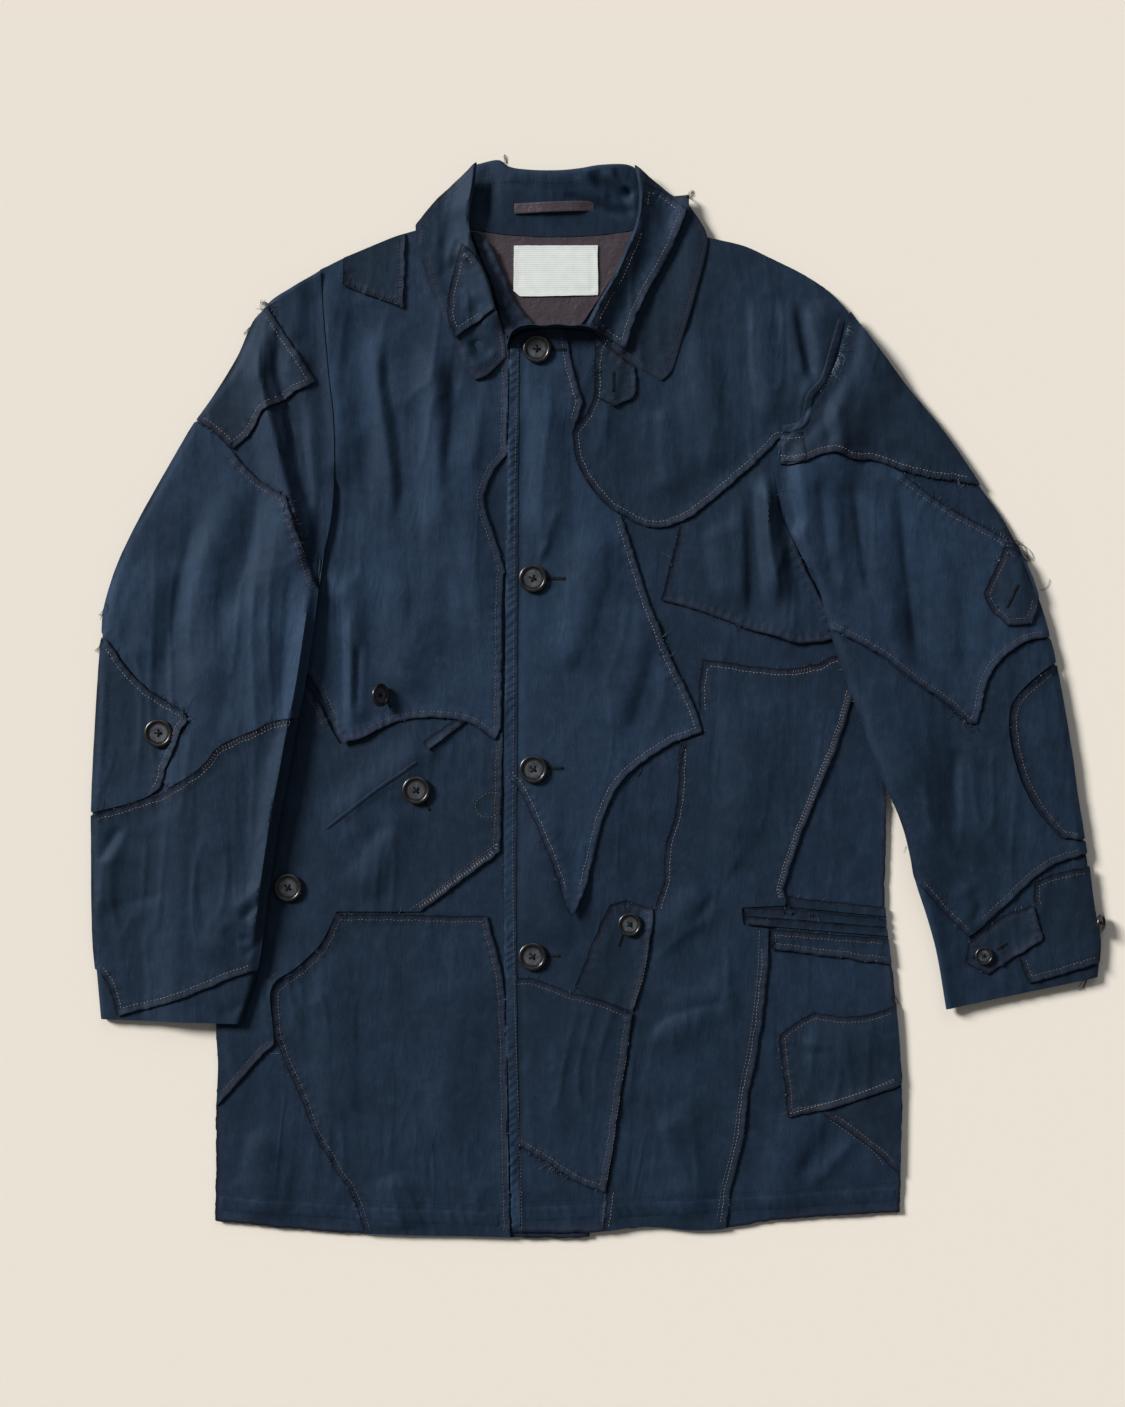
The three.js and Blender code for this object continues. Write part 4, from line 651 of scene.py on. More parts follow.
def fill(edge, step, insets):
    """Points and triangles inside a cut edge: rows that follow the edge, and an even field in the middle."""
    normal = outward(edge)
    rows = [edge]
    for inset in insets:
        row = edge - normal * inset
        rows.append(row[(nearest_sample(edge, row)[1] > 0.9 * inset) & is_inside(edge, row)])
    low, high = edge.min(0), edge.max(0)
    across = np.arange(low[0], high[0], step)
    up = np.arange(low[1], high[1], step * 0.866)
    field = np.array([(x + (0.5 * step if k % 2 else 0), y) for k, y in enumerate(up) for x in across])
    if len(field):
        field = field[is_inside(edge, field)]
    if len(field):
        margin = (insets[-1] if insets else 0) + 0.6 * step
        field = field[nearest_sample(edge, field)[1] > margin]
        rows.append(field)
    points = np.vstack([r for r in rows if len(r)])
    count = len(edge)
    made = delaunay_2d_cdt([Vector(p) for p in points], [], [list(range(count))], 1, 1e-7, False)
    points, triangles = np.array([tuple(v) for v in made[0]]), np.array(made[2], int).reshape(-1, 3)
    return points, triangles[is_inside(edge, points[triangles].mean(1))]


# Meshes


def make_object(name, points, faces, material, slot, node=None, sharp=50, marks=None):
    """A mesh object that rides on the coat, with marks stored on its points. It may replace a CAD node."""
    mesh = bpy.data.meshes.new(name)
    faces = np.asarray(faces).tolist()
    if len(faces[0]) == 4:
        # A triangle is given with one corner named twice.
        faces = [list(dict.fromkeys(face)) for face in faces]
    mesh.from_pydata(np.asarray(points).tolist(), [], faces)
    mesh.polygons.foreach_set("use_smooth", np.ones(len(mesh.polygons), bool))
    mesh.set_sharp_from_angle(angle=math.radians(sharp))
    for mark, values in (marks or {}).items():
        layer = mesh.attributes.new(mark, "FLOAT", "POINT")
        layer.data.foreach_set("value", np.asarray(values, np.float32))
    mesh.materials.append(materials[material])
    mesh.update()
    made = bpy.data.objects.new(name, mesh)
    bpy.context.scene.collection.objects.link(made)
    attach(made, "root")
    if node:
        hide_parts(node)
    return made


def unworn(points):
    """The marks of a cloth with no raw edge."""
    return {"raw_edge_shade": np.zeros(len(points)), "seam_strip": np.zeros(len(points))}


def thick_sheet(plan_points, triangles, top, thickness):
    """A closed sheet from its top surface: its underside, and the wall round its edge."""
    count = len(plan_points)
    upper = np.column_stack([plan_points, top])
    lower = np.column_stack([plan_points, top - thickness])
    a, b = np.array(border(triangles)).T
    walls = np.vstack([np.column_stack([b, a, a + count]), np.column_stack([b, a + count, b + count])])
    return np.vstack([upper, lower]), np.vstack([triangles, triangles[:, ::-1] + count, walls])


def grid_triangles(rows, columns):
    i, j = np.meshgrid(np.arange(rows - 1), np.arange(columns - 1), indexing="ij")
    k = (i * columns + j).ravel()
    first = np.column_stack([k, k + columns, k + columns + 1])
    return np.vstack([first, np.column_stack([k, k + columns + 1, k + 1])])


def grid_quads(rows, columns, is_ring):
    """The quads between rows of points. In a ring the last column joins the first."""
    i, j = np.meshgrid(np.arange(rows - 1), np.arange(columns if is_ring else columns - 1), indexing="ij")
    low, high, n = i * columns, (i + 1) * columns, (j + 1) % columns
    return np.stack([low + j, low + n, high + n, high + j], -1).reshape(-1, 4)


def facing_out(points, quads):
    """The faces of a closed form, turned so that they face outwards."""
    a, b, c, d = (points[quads[:, k]] for k in range(4))
    volume = (np.cross(a, b) * c).sum() + (np.cross(a, c) * d).sum()
    return quads[:, ::-1] if volume < 0 else quads


def double_wall(outside, inside, is_ring):
    """A closed wall between two grids of points, with a rim along each open side."""
    rows, columns = outside.shape[:2]
    quads = grid_quads(rows, columns, is_ring)
    inner = rows * columns
    j = np.arange(columns if is_ring else columns - 1)
    n = (j + 1) % columns
    last = (rows - 1) * columns
    rims = [np.column_stack([j, j + inner, n + inner, n]),
            np.column_stack([last + j, last + n, last + n + inner, last + j + inner])]
    if not is_ring:
        low = np.arange(rows - 1) * columns
        high = low + columns
        side = columns - 1
        rims.append(np.column_stack([low, high, high + inner, low + inner]))
        rims.append(np.column_stack([low + side, low + side + inner, high + side + inner, high + side]))
    points = np.vstack([outside.reshape(-1, 3), inside.reshape(-1, 3)])
    return points, facing_out(points, np.vstack([quads, quads[:, ::-1] + inner, *rims]))


cloths = {}  # what is known of each cloth that has been laid, for the sewing
materials = {}


def classify_edge(edge, own_panel, above, below):
    """For each step of an edge: how free it lies, and how much it lies on a neighbour."""
    normal = outward(edge)
    probe = edge + normal * 3.5 * MM
    free = np.ones(len(edge))
    on_other = np.zeros(len(edge))
    for other in own_panel:
        free[nearest_sample(other, edge)[1] < 2.6 * MM] = 0
    for other in below:
        on_other[is_inside(other, probe)] = 1
    for other in above:
        free[is_inside(other, probe)] = 0
    window = np.hanning(7)
    window /= window.sum()

    def softened(values):
        wrapped = np.concatenate([values[-3:], values, values[:3]])
        return np.convolve(wrapped, window, "valid")

    return softened(free), softened(on_other * free)


def lay_cloth(name, node, surface, level, tone, thread, step, panel=(), above=(), below=(),
              seed=0, thickness=1.0 * MM, pucker=1.0, slot="patch_cloth", side_of=None, extra=None,
              is_finished=False):
    """Cuts and lays one cloth, and records it for the sewing. Its outline is its CAD node's, and its form is
    what it lies on.
    """
    sizes = bpy.context.scene.coat_sizes
    edge = even_steps(smoothed_edge(cut_edge(node), 2 * MM), 2.2 * MM)
    free, on_other = classify_edge(edge, panel, above, below)
    normal = outward(edge)
    s = lengths_along(np.vstack([edge, edge[:1]]))[:-1]
    waver = 0.45 * MM * noise_along(s, 0.006, seed + 31) + 0.3 * MM * noise_along(s, 0.0025, seed + 32)
    if is_finished:
        waver = 0.3 * waver
    grow = free * waver + on_other * 0.9 * MM
    if side_of is not None:
        at_side = sum(smoothstep(3 * MM, 0.5 * MM, nearest_on_line(line, edge)[0]) for line in side_of)
        grow = grow * (1 - at_side) + 0.8 * MM * level * at_side
    edge = edge + normal * grow[:, None]
    points, triangles = fill(edge, step, (2.2 * MM, 4.6 * MM, 7 * MM) if step < 3.5 * MM else (3 * MM,))
    index, distance = nearest_sample(edge, points)
    free_here, on_here, s_here = free[index], on_other[index], s[index]
    phase = 2 * math.pi * s_here / (7.2 * MM) + 4 * noise_along(s_here, 0.017, seed + 33)
    strength = sizes.pucker * pucker * (0.5 + 0.5 * noise_along(s_here, 0.05, seed + 34) + 0.4)
    band = np.exp(-(((distance - 4.5 * MM) / (3.6 * MM)) ** 2))
    top = surface(points) + level * LAYER
    top += on_here * sizes.edge_lift * smoothstep(11 * MM, 0.5 * MM, distance)
    top += free_here * strength * band * (0.6 + np.sin(phase)) * (0.35 + 0.65 * (level > 0))
    top -= free_here * 0.25 * MM * np.exp(-(((distance - sizes.stitch_inset) / (1.0 * MM)) ** 2))
    curl = 0.5 + 0.5 * noise_along(s_here, 0.02, seed + 35)
    turned_up = np.clip(1 - distance / (3.8 * MM), 0, 1) ** 1.6
    top += free_here * (level > 0) * sizes.edge_curl * (0.45 + curl) * turned_up
    if extra is not None:
        top += extra(points)
    mesh_points, faces = thick_sheet(points, triangles, top, thickness)
    # Painted shade: the cloth darkens to near black along a free raw edge, standing for the shadow under the
    # raised edge, with the dark yarn ends.
    raw = free_here * np.exp(-((distance / (1.5 * MM)) ** 2)) * (0.4 if is_finished else 1)
    strip = free_here * smoothstep(6.5 * MM, 4.5 * MM, distance)
    strip = strip * (0.6 + 0.4 * noise_along(s_here, 0.03, seed + 36))
    made = make_object(name, mesh_points, faces, tone, slot, node,
                       marks={"raw_edge_shade": np.tile(raw, 2), "seam_strip": np.tile(strip, 2)})
    cloths[name] = {"edge": edge, "free": free, "s": s, "thread": thread, "level": level, "piece": made.name,
                    "top_at": lambda p: surface(p) + level * LAYER, "is_finished": is_finished}


# Narrow strips of doubled cloth: grid points of the middle line, half width and rise in millimetres, rise and
# pitch of the puckers, the sides that end free, how raw these are, which sets the painted shade along the free
# sides and the seam tint, and the tone, where light is a lighter copy of the cotton painted for sheen. Side 1
# is the line's left.
STRIPS = {
    "front_edge_strip": (
        [(513.5, 346), (512, 500), (511.5, 640), (511, 760), (510, 900), (511, 1020), (514.5, 1229)],
        5.2, 0.45, 0.8, 7.4, (-1, 1), 0.15, "light"),
    "armhole_edge_left": (
        [(841, 318), (831, 352), (821, 382), (809, 396), (801, 424), (790, 428), (779, 429)],
        3.8, 0.5, 0.3, 7.0, (1,), 1.0, "coat"),
    "waist_tuck": (
        [(421, 759), (398, 775), (377, 789), (350, 810), (324, 830)], 1.7, 0.3, 0.15, 9.0, (1,), 0.7, "coat"),
    "armhole_scrap_left": ([(777, 449.5), (790, 449), (806, 447)], 12.0, 1.0, 0.4, 8.0, (-1, 1), 0.8, "dark"),
    "hem_right": ([(216, 1202), (280, 1207), (400, 1214), (503, 1218)], 9.0, 0.3, 0.6, 12.0, (), 0, "coat"),
    "hem_left": (
        [(518, 1213), (600, 1210), (660, 1207), (760, 1202), (898, 1193)],
        9.0, 0.3, 0.6, 12.0, (), 0, "coat"),
}


def lay_strip(name, catcher):
    """A doubled strip on top of all that is laid: it puckers, and the sides that aren't free sink in."""
    points, half, rise, pucker, pitch, free_sides, rawness, tone = STRIPS[name]
    line = curve_through(plan(points), 1.3 * MM)
    beside = directions(line)[1]
    s = lengths_along(line)
    u = np.linspace(-1, 1, 11)
    width = half * MM * (1 + 0.05 * noise_along(s, 0.007, len(name)))
    places = line[:, None] + beside[:, None] * (u[None] * width[:, None])[..., None]
    rows, columns = len(s), len(u)
    flat = places.reshape(-1, 2)
    ground = catcher.heights(flat).reshape(rows, columns)
    window = np.hanning(9) / np.hanning(9).sum()
    padded = np.pad(ground, ((4, 4), (0, 0)), "edge")
    smoothed = np.apply_along_axis(lambda c: np.convolve(c, window, "valid"), 0, padded)
    ground = np.maximum(smoothed, ground - 0.4 * MM)
    phase = 2 * math.pi * (s[:, None] + 0.75 * u[None] * width[:, None]) / (pitch * MM)
    phase += 4 * noise_along(s, 0.02, 5)[:, None]
    wave = (0.5 + 0.5 * np.sin(phase)) * (0.6 + 0.4 * noise_along(s, 0.03, 6))[:, None]
    shape = np.ones(columns)
    for side in (-1, 1):
        if side not in free_sides:
            shape *= smoothstep(-1, -0.35, -u * side)
    sunk = 0.45 * MM
    top = ground + rise * MM * shape[None] + pucker * MM * wave * (1 - u[None] ** 2) * shape[None]
    top = top - ((1 - shape) * sunk)[None]
    ends = smoothstep(0, 5 * MM, s) * smoothstep(0, 5 * MM, s[-1] - s)
    top = np.where(ends[:, None] < 1, ground - sunk + (top - ground + sunk) * ends[:, None], top)
    triangles = grid_triangles(rows, columns)
    a, b, c = (flat[triangles[:, n]] for n in range(3))
    if np.cross(b - a, c - a).sum() < 0:
        triangles = triangles[:, ::-1]
    thickness = (0.9 + rise * 0.3) * MM
    top = np.maximum(top.ravel(), thickness + 0.1 * MM)
    mesh_points, faces = thick_sheet(flat, triangles, top, thickness)
    # Painted shade along the free sides, as on the patches: near black for the shadow under the raised edge
    # and the dark yarn ends.
    raw = np.zeros(columns)
    for side in free_sides:
        raw += rawness * np.exp(-(((1 - u * side) * half / 1.1) ** 2))
    marks = {"raw_edge_shade": np.tile(raw, 2 * rows), "seam_strip": np.full(2 * rows * columns, 0.3 * rawness)}
    make_object(name, mesh_points, faces, tone, "coat_cloth", marks=marks)


# Sleeves


def sleeve_sides(side):
    lines = SLEEVE_EDGES[side]
    outwards = -1 if side == "right" else 1
    shifts = {"outer": 0.45 * MM, "inner": 0.45 * MM, "armhole": -1.2 * MM}
    return [curve_through(plan(lines[k]), 6 * MM) + (outwards * by, 0) for k, by in shifts.items()]


body_edges = []


def outside_body(p):
    """How far each place is outside the body."""
    gap = np.min([nearest_sample(edge, p)[1] for edge in body_edges], axis=0)
    within = np.any([is_inside(edge, p) for edge in body_edges], axis=0)
    return np.where(within, 0, gap)


def sleeve_under(p):
    return SLEEVE_OVER_BODY * (1 - smoothstep(30 * MM, 64 * MM, outside_body(p)))


def sleeve_height(side, p, grow=0.0, is_bottom=False):
    """The upper or lower surface of a flattened sleeve, rounded at its two long sides."""
    outer, inner, armhole = sleeve_sides(side)
    distance = np.minimum(nearest_on_line(outer, p)[0], nearest_on_line(inner, p)[0])
    t = np.clip((distance + grow) / (5 * MM), 0, 1)
    bulge = np.sqrt(1 - (1 - t) ** 2)
    under = sleeve_under(p)
    if is_bottom:
        return under + SLEEVE_LOFT * (0.5 - 0.5 * bulge)
    lines = SLEEVE_EDGES[side]
    relief = folds_at(lines["folds"], p) + CREASE_RISE * folds_at(lines["creases"], p, crispness=CRISP)
    relief += rumple(p, 23 if side == "left" else 37)
    own = under + SLEEVE_LOFT * (0.5 + 0.5 * bulge)
    own += np.maximum(relief, -4.2 * MM) * smoothstep(0, 8 * MM, distance)
    to_seam = nearest_on_line(armhole, p)[0]
    beside_body = np.minimum(own, FRONT_TOP + LAYER + body_relief(p) + 0.8 * MM)
    near_seam = 1 - smoothstep(1 * MM, 22 * MM, to_seam)
    return np.maximum(own + (beside_body - own) * near_seam, under + 2.8 * MM * bulge + 0.9 * MM)


def make_sleeve(side):
    """The sleeve itself: a flattened tube, open at the armhole and the cuff."""
    outer, inner, armhole = sleeve_sides(side)
    rings = 170
    shares = np.arange(rings + 1) / rings
    a, b = points_along(outer, shares), points_along(inner, shares)
    across_top = 0.5 - 0.5 * np.cos(np.linspace(0, math.pi, 60))
    across_bottom = across_top[::-3][1:]
    hug = 1 - smoothstep(0, 0.24, shares)
    first = points_along(armhole, across_top)
    chord = a[0] + (b[0] - a[0]) * across_top[:, None]
    bulge = first - chord

    def ring_points(u, inset):
        width = np.linalg.norm(b - a, axis=1)[:, None]
        squeezed = u[None] + (1 - 2 * u[None]) * inset * 1.1 / width
        place = a[:, None] + (b - a)[:, None] * squeezed[..., None]
        lean = np.column_stack([np.interp(u, across_top, bulge[:, k]) for k in (0, 1)])
        return place + hug[:, None, None] * lean[None]

    def surface(inset):
        top = ring_points(across_top, inset)
        bottom = ring_points(across_bottom, inset)
        z_top = sleeve_height(side, top.reshape(-1, 2)).reshape(top.shape[:2])
        z_bottom = sleeve_height(side, bottom.reshape(-1, 2), is_bottom=True).reshape(bottom.shape[:2])
        is_side = (across_top < 1e-6) | (across_top > 1 - 1e-6)
        z_top = np.where(is_side[None], z_top, z_top - inset)
        upper, lower = np.dstack([top, z_top]), np.dstack([bottom, z_bottom + inset])
        return np.concatenate([upper, lower[:, :-1]], axis=1)

    outside = surface(0.0)
    points, faces = double_wall(outside, surface(1.2 * MM), is_ring=True)
    made = make_object(f"sleeve_tube_{side}", points, faces, "coat", "coat_cloth", f"sleeve_{side}",
                       marks=unworn(points))


# Sewing


class Catcher:
    """Finds the top of all the cloth at a place."""

    def __init__(self, names):
        points, faces = join_parts([read_mesh(bpy.data.objects[name].data) for name in names])
        self.tree = BVHTree.FromPolygons(points.tolist(), faces.tolist())

    def height(self, x, y):
        hit = self.tree.ray_cast(Vector((x, y, 0.2)), Vector((0, 0, -1)))[0]
        return hit.z if hit else 0.0

    def heights(self, p):
        return np.array([self.height(x, y) for x, y in p])


def spindles(start, stop, z_start, z_stop, radius, rise):
    """Short threads that dip into the cloth at both ends, as points and faces."""
    along = stop - start
    length = np.linalg.norm(along, axis=1)
    side = np.column_stack([-along[:, 1], along[:, 0]]) / np.maximum(length, 1e-9)[:, None]
    corners = []
    for t in (0.22, 0.78):
        place = start + along * t
        z = z_start + (z_stop - z_start) * t + rise
        for angle in (0.25, 0.75, 1.25, 1.75):
            across, up = math.cos(angle * math.pi), math.sin(angle * math.pi)
            corners.append(np.column_stack([place + side * (across * radius), z + up * radius]))
    corners += [np.column_stack([start, z_start - 0.05 * MM]), np.column_stack([stop, z_stop - 0.05 * MM])]
    pattern = []
    for k in range(4):
        n = (k + 1) % 4
        pattern += [(k, n, 4 + n), (k, 4 + n, 4 + k), (8, n, k), (9, 4 + k, 4 + n)]
    return repeated(corners, pattern)


def repeated(corners, pattern):
    """Many like forms: the points of each are the same rows of all the corners, with one pattern of faces."""
    points = np.stack(corners, axis=1)
    base = np.arange(len(points)) * len(corners)
    return points.reshape(-1, 3), (base[:, None, None] + np.array(pattern)[None]).reshape(-1, 3)


def inset_line(cloth, inset):
    """The sewing line inside a cloth's free edge, with nothing where the edge lies under another cloth."""
    edge = cloth["edge"]
    line = edge - outward(edge) * inset
    ok = (nearest_sample(edge, line)[1] > 0.93 * inset) & (cloth["free"] > 0.6)
    return line, ok


def stitches_on(line, ok, pitch, length):
    """Even stitches along the good stretches of a line: their two ends."""
    starts, stops = [], []
    carry = 0.0
    for a, b, good in zip(line, np.roll(line, -1, axis=0), ok & np.roll(ok, -1)):
        d = np.linalg.norm(b - a)
        if not good or d < 1e-7 or d > 8 * MM:
            carry = 0.0
            continue
        while carry < d:
            starts.append(a + (b - a) * carry / d)
            stops.append(a + (b - a) * (carry + length) / d)
            carry += pitch
        carry -= d
    return np.array(starts).reshape(-1, 2), np.array(stops).reshape(-1, 2)


def on_top(cloth, catcher, start, stop):
    """Those stitches of a cloth that nothing else covers."""
    if len(start):
        shows = np.abs(catcher.heights(start) - cloth["top_at"](start)) < 2 * MM
        start, stop = start[shows], stop[shows]
    return start, stop


def join_parts(parts):
    points, faces, offset = [], [], 0
    for p, f in parts:
        points.append(p)
        faces.append(np.asarray(f) + offset)
        offset += len(p)
    return np.vstack(points), np.vstack(faces)


# Where a row of bars crosses the strip between the stitches and the raw edge: thread, grid place and reach
LADDERS = {
    "side_patch": ("tan", (818, 790), 125),
    "cap_patch_left": ("navy", (950, 470), 120),
    "chest_patch": ("navy", (350, 730), 40),
    "shoulder_scrap": ("dark", (375, 300), 40),
    "skirt_patch": ("navy", (320, 1120), 110),
    "upper_arm_patch_right": ("navy", (295, 520), 60),
    "waist_patch": ("pale", (455, 880), 60),
    "forearm_patch_right": ("tan", (250, 735), 60),
}
# Sewn lines that are not a patch's own edge: thread, and grid points
SEWN_LINES = [
    ("dark", [(219, 1189), (280, 1194), (400, 1200), (502, 1204)]),
    ("dark", [(518, 1200), (600, 1197), (700, 1193), (800, 1188), (897, 1181)]),
    ("pale", [(779, 440), (790, 440), (805, 438)]),
    ("pale", [(779, 457), (790, 458), (806, 455)]),
    ("pale", [(837, 360), (827, 382), (817, 396)]),
    ("tan", [(518.5, 346), (515, 500), (514, 700), (513, 850), (515, 1000), (520, 1150), (522, 1228)]),
    ("tan", [(504, 839), (470, 863), (438, 889), (408, 911)]),
    ("tan", [(503, 806), (494, 816), (480, 815), (476, 804), (486, 794), (502, 792)]),
    ("tan", [(167, 766), (158, 782), (150, 796)]),
    ("navy", [(400, 922), (401, 950), (400, 990)]),
    ("dark", [(482, 186), (510, 184), (560, 186), (600, 181), (626, 184)]),
    ("navy", [(508, 348), (504.5, 640), (502.5, 760), (502.5, 900), (505.5, 1020), (510.5, 1229)]),
    ("navy", [(325, 318), (330, 375), (335, 420), (336, 465), (333, 518)]),
    ("tan", [(759, 930), (757, 975), (748, 1046), (740, 1086), (732, 1145), (722, 1184), (716, 1222)]),
    ("tan", [(648, 940), (643, 975), (634, 1003), (627, 1050), (619, 1098), (612, 1147), (606, 1184),
             (602, 1226)]),
    ("pale", [(789, 1112), (819, 1104), (858, 1092), (896, 1077)]),
    ("tan", [(830, 1119), (850, 1134), (874, 1152), (884, 1166)]),
    ("navy", [(121, 1008), (108, 985), (101, 968)]),
]
BUTTONHOLES = [
    ((549, 350.5), (566, 351)), ((547, 579), (565, 579)), ((547, 768), (563, 768)), ((546, 955), (560, 955)),
    ((613, 373), (613, 393)), ((424, 799), (430, 810)), ((622, 934), (618, 945)), ((994, 948), (1004, 942)),
    ((386, 700), (391, 707)), ((1015, 585), (1004, 608)),
]


def make_stitches(catcher):
    sizes = bpy.context.scene.coat_sizes
    seams = {"tan": [], "pale": [], "navy": [], "dark": []}
    for name, cloth in cloths.items():
        line, ok = inset_line(cloth, sizes.stitch_inset)
        ends = stitches_on(line, ok, sizes.stitch_pitch, sizes.stitch_length)
        seams[cloth["thread"]].append(on_top(cloth, catcher, *ends))
        if name in LADDERS:
            thread, place, reach = LADDERS[name]
            near = np.linalg.norm(cloth["edge"] - plan([place])[0], axis=1) < reach * GRID
            start, stop = stitches_on(line, ok & near, 2.6 * MM, 0.5 * MM)
            out = np.column_stack([(stop - start)[:, 1], -(stop - start)[:, 0]]) / (0.5 * MM)
            seams[thread].append(on_top(cloth, catcher, start + out * 0.7 * MM, start + out * 3.9 * MM))
    for thread, points in SEWN_LINES:
        line = curve_through(plan(points), 3 * MM)
        ok = np.ones(len(line), bool)
        ok[-1] = False
        seams[thread].append(stitches_on(line, ok, sizes.stitch_pitch, sizes.stitch_length))
    for thread, runs in seams.items():
        start, stop = (np.vstack([run[k] for run in runs]) for k in (0, 1))
        z_start, z_stop = catcher.heights(start), catcher.heights(stop)
        level = np.abs(z_start - z_stop) < 1.2 * MM
        ends = (values[level] for values in (start, stop, z_start, z_stop))
        made = spindles(*ends, 0.24 * MM, 0.12 * MM)
        make_object("stitches_" + thread, *made, "thread_" + thread, "patch_cloth", sharp=180)


def make_frays(catcher):
    """Loose threads along the raw edges, thickest where the edge is worn to a fringe."""
    sizes = bpy.context.scene.coat_sizes
    rng = np.random.default_rng(404)
    frays = []
    for cloth in cloths.values():
        if cloth["level"] == 0 or cloth["is_finished"]:
            continue
        edge, normal = cloth["edge"], outward(cloth["edge"])
        thick = np.full(len(edge), 0.35)
        for place, reach, more in RAGGED:
            gap = np.linalg.norm(edge - plan([place])[0], axis=1)
            thick += more * np.exp(-((gap / (reach * GRID)) ** 2))
        patchy = 0.5 + 0.5 * noise_along(cloth["s"], 0.03, len(edge))
        number = rng.poisson(cloth["free"] * thick * patchy * sizes.fray_per_step)
        index = np.repeat(np.arange(len(edge)), number)
        if not len(index):
            continue
        top = catcher.heights(edge[index] - normal[index] * MM)
        index = index[np.abs(top - cloth["top_at"](edge[index])) < 2.2 * MM]
        count = len(index)
        place = edge[index] + rng.normal(0, 0.7 * MM, (count, 2)) - normal[index] * 0.5 * MM
        angle = rng.normal(0, 0.75, count)
        out = turned(normal[index], np.cos(angle), np.sin(angle))
        length = sizes.fray_length * rng.lognormal(-0.25, 0.45, count)
        length = length * (0.7 + 0.5 * np.minimum(thick[index], 2))
        lies_on_cloth = catcher.heights(place + out * length[:, None]) > 0
        keep = lies_on_cloth | (thick[index] > 1)
        frays.append((place[keep], out[keep], length[keep]))
    place, out, length = (np.concatenate([fray[k] for fray in frays]) for k in range(3))
    faded = rng.random(len(place)) < 0.22
    pattern = [(2, 1, 0), (9, 10, 11)]
    for k in range(3):
        for j in range(3):
            here, n = 3 * k + j, 3 * k + (j + 1) % 3
            pattern += [(here, n, n + 3), (here, n + 3, here + 3)]
    for tone, chosen in (("dark", ~faded), ("faded", faded)):
        p, o, long = place[chosen], out[chosen], length[chosen]
        side = np.column_stack([-o[:, 1], o[:, 0]])
        bend = rng.normal(0, 0.35, len(p))[:, None] * side
        corners = []
        for t in (0.0, 0.4, 0.75, 1.0):
            middle = p + (o * t + bend * t * t) * long[:, None]
            z = catcher.heights(middle) + (0.25 + 0.5 * t * (1 - t)) * MM
            z = z if t else np.maximum(z, 0.5 * MM)
            r = 0.21 * MM * (1 - 0.65 * t)
            for turn in (0.5, 1.167, 1.833):
                across, up = math.cos(turn * math.pi) * r, math.sin(turn * math.pi) * r
                corners.append(np.column_stack([middle + side * across, z + up]))
        points, faces = repeated(corners, pattern)
        make_object("loose_threads_" + tone, points, faces, "thread_" + tone, "patch_cloth", sharp=180)

    def strand(start, end, curl, radius):
        bow = rng.normal(0, curl, 2) * np.linalg.norm(end - start)
        t = np.linspace(0, 1, 9)[:, None]
        line = start + (end - start) * t + bow * 4 * t * (1 - t)
        z = catcher.heights(line) + (0.35 + 0.8 * t[:, 0] * rng.random()) * MM
        return tube(np.column_stack([line, z]), radius, 4)

    tails = []
    for a, b, number, spread in TAILS:
        root, tip = plan([a, b])
        for _ in range(number):
            end = tip + rng.normal(0, spread * MM, 2)
            tails.append(strand(root + rng.normal(0, 0.8 * MM, 2), end, 0.14, 0.18 * MM))
    fringe = []
    for points, number, long in FRINGES:
        line = curve_through(plan(points), 2 * MM)
        for share in rng.random(number):
            root, on = points_along(line, [share, share + 0.02])
            tangent = (on - root) / max(np.linalg.norm(on - root), 1e-6)
            beside = np.array([-tangent[1], tangent[0]])
            reach = long * MM * rng.lognormal(-0.3, 0.45)
            end = root + beside * reach * 0.8 + tangent * reach * rng.normal(0.45, 0.35)
            fringe.append(strand(root - beside * 0.6 * MM, end, 0.16, 0.12 * MM))
    make_object("ravelled_tails", *join_parts(tails), "thread_dark", "patch_cloth", sharp=180)
    make_object("armhole_fringe", *join_parts(fringe), "thread_faded", "patch_cloth", sharp=180)


def turned(vectors, cosine, sine):
    x, y = vectors.T
    return np.column_stack([x * cosine - y * sine, x * sine + y * cosine])


# Fastenings

# Buttons: piece, CAD node, radius in millimetres, turn of the cross of thread, and tilt, both in radians
BUTTONS = [
    ("button_front_1", "front_button_1", 11.9, 0.75, 0),
    ("button_front_2", "front_button_2", 11.9, 0.45, 0),
    ("button_front_3", "front_button_3", 11.9, 0.15, 0),
    ("button_front_4", "front_button_4", 11.9, -0.15, 0),
    ("button_chest", "chest_button_right", 9.9, 0.3, 0.9),
    ("button_waist", "waist_button_right", 11.9, -0.1, 0),
    ("button_side", "side_button_right", 11.9, 0.2, 0),
    ("button_skirt", "skirt_button_left", 9.9, -0.15, 0),
    ("button_elbow", "elbow_button_right", 11.9, 0.75, 0),
    ("button_cuff", "cuff_button_left", 7.6, 0.2, 0),
    ("button_cuff_edge", "cuff_edge_button_left", 7.6, 0.1, 0.95),
]


def revolve(profile, count):
    """A closed ring from a closed profile of radius and height."""
    m = len(profile)
    angle = np.arange(count) / count * 2 * math.pi
    points = np.array([(r * math.cos(a), r * math.sin(a), z) for a in angle for r, z in profile])
    faces = []
    for i in range(count):
        n = (i + 1) % count
        for j in range(m):
            k = (j + 1) % m
            faces.append((i * m + j, n * m + j, n * m + k, i * m + k))
    return points, np.array(faces)


def circle(middle, radius, count, way=1):
    turn = way * np.linspace(0, 2 * math.pi, count + 1)[:-1]
    return middle + np.column_stack([np.cos(turn), np.sin(turn)]) * radius


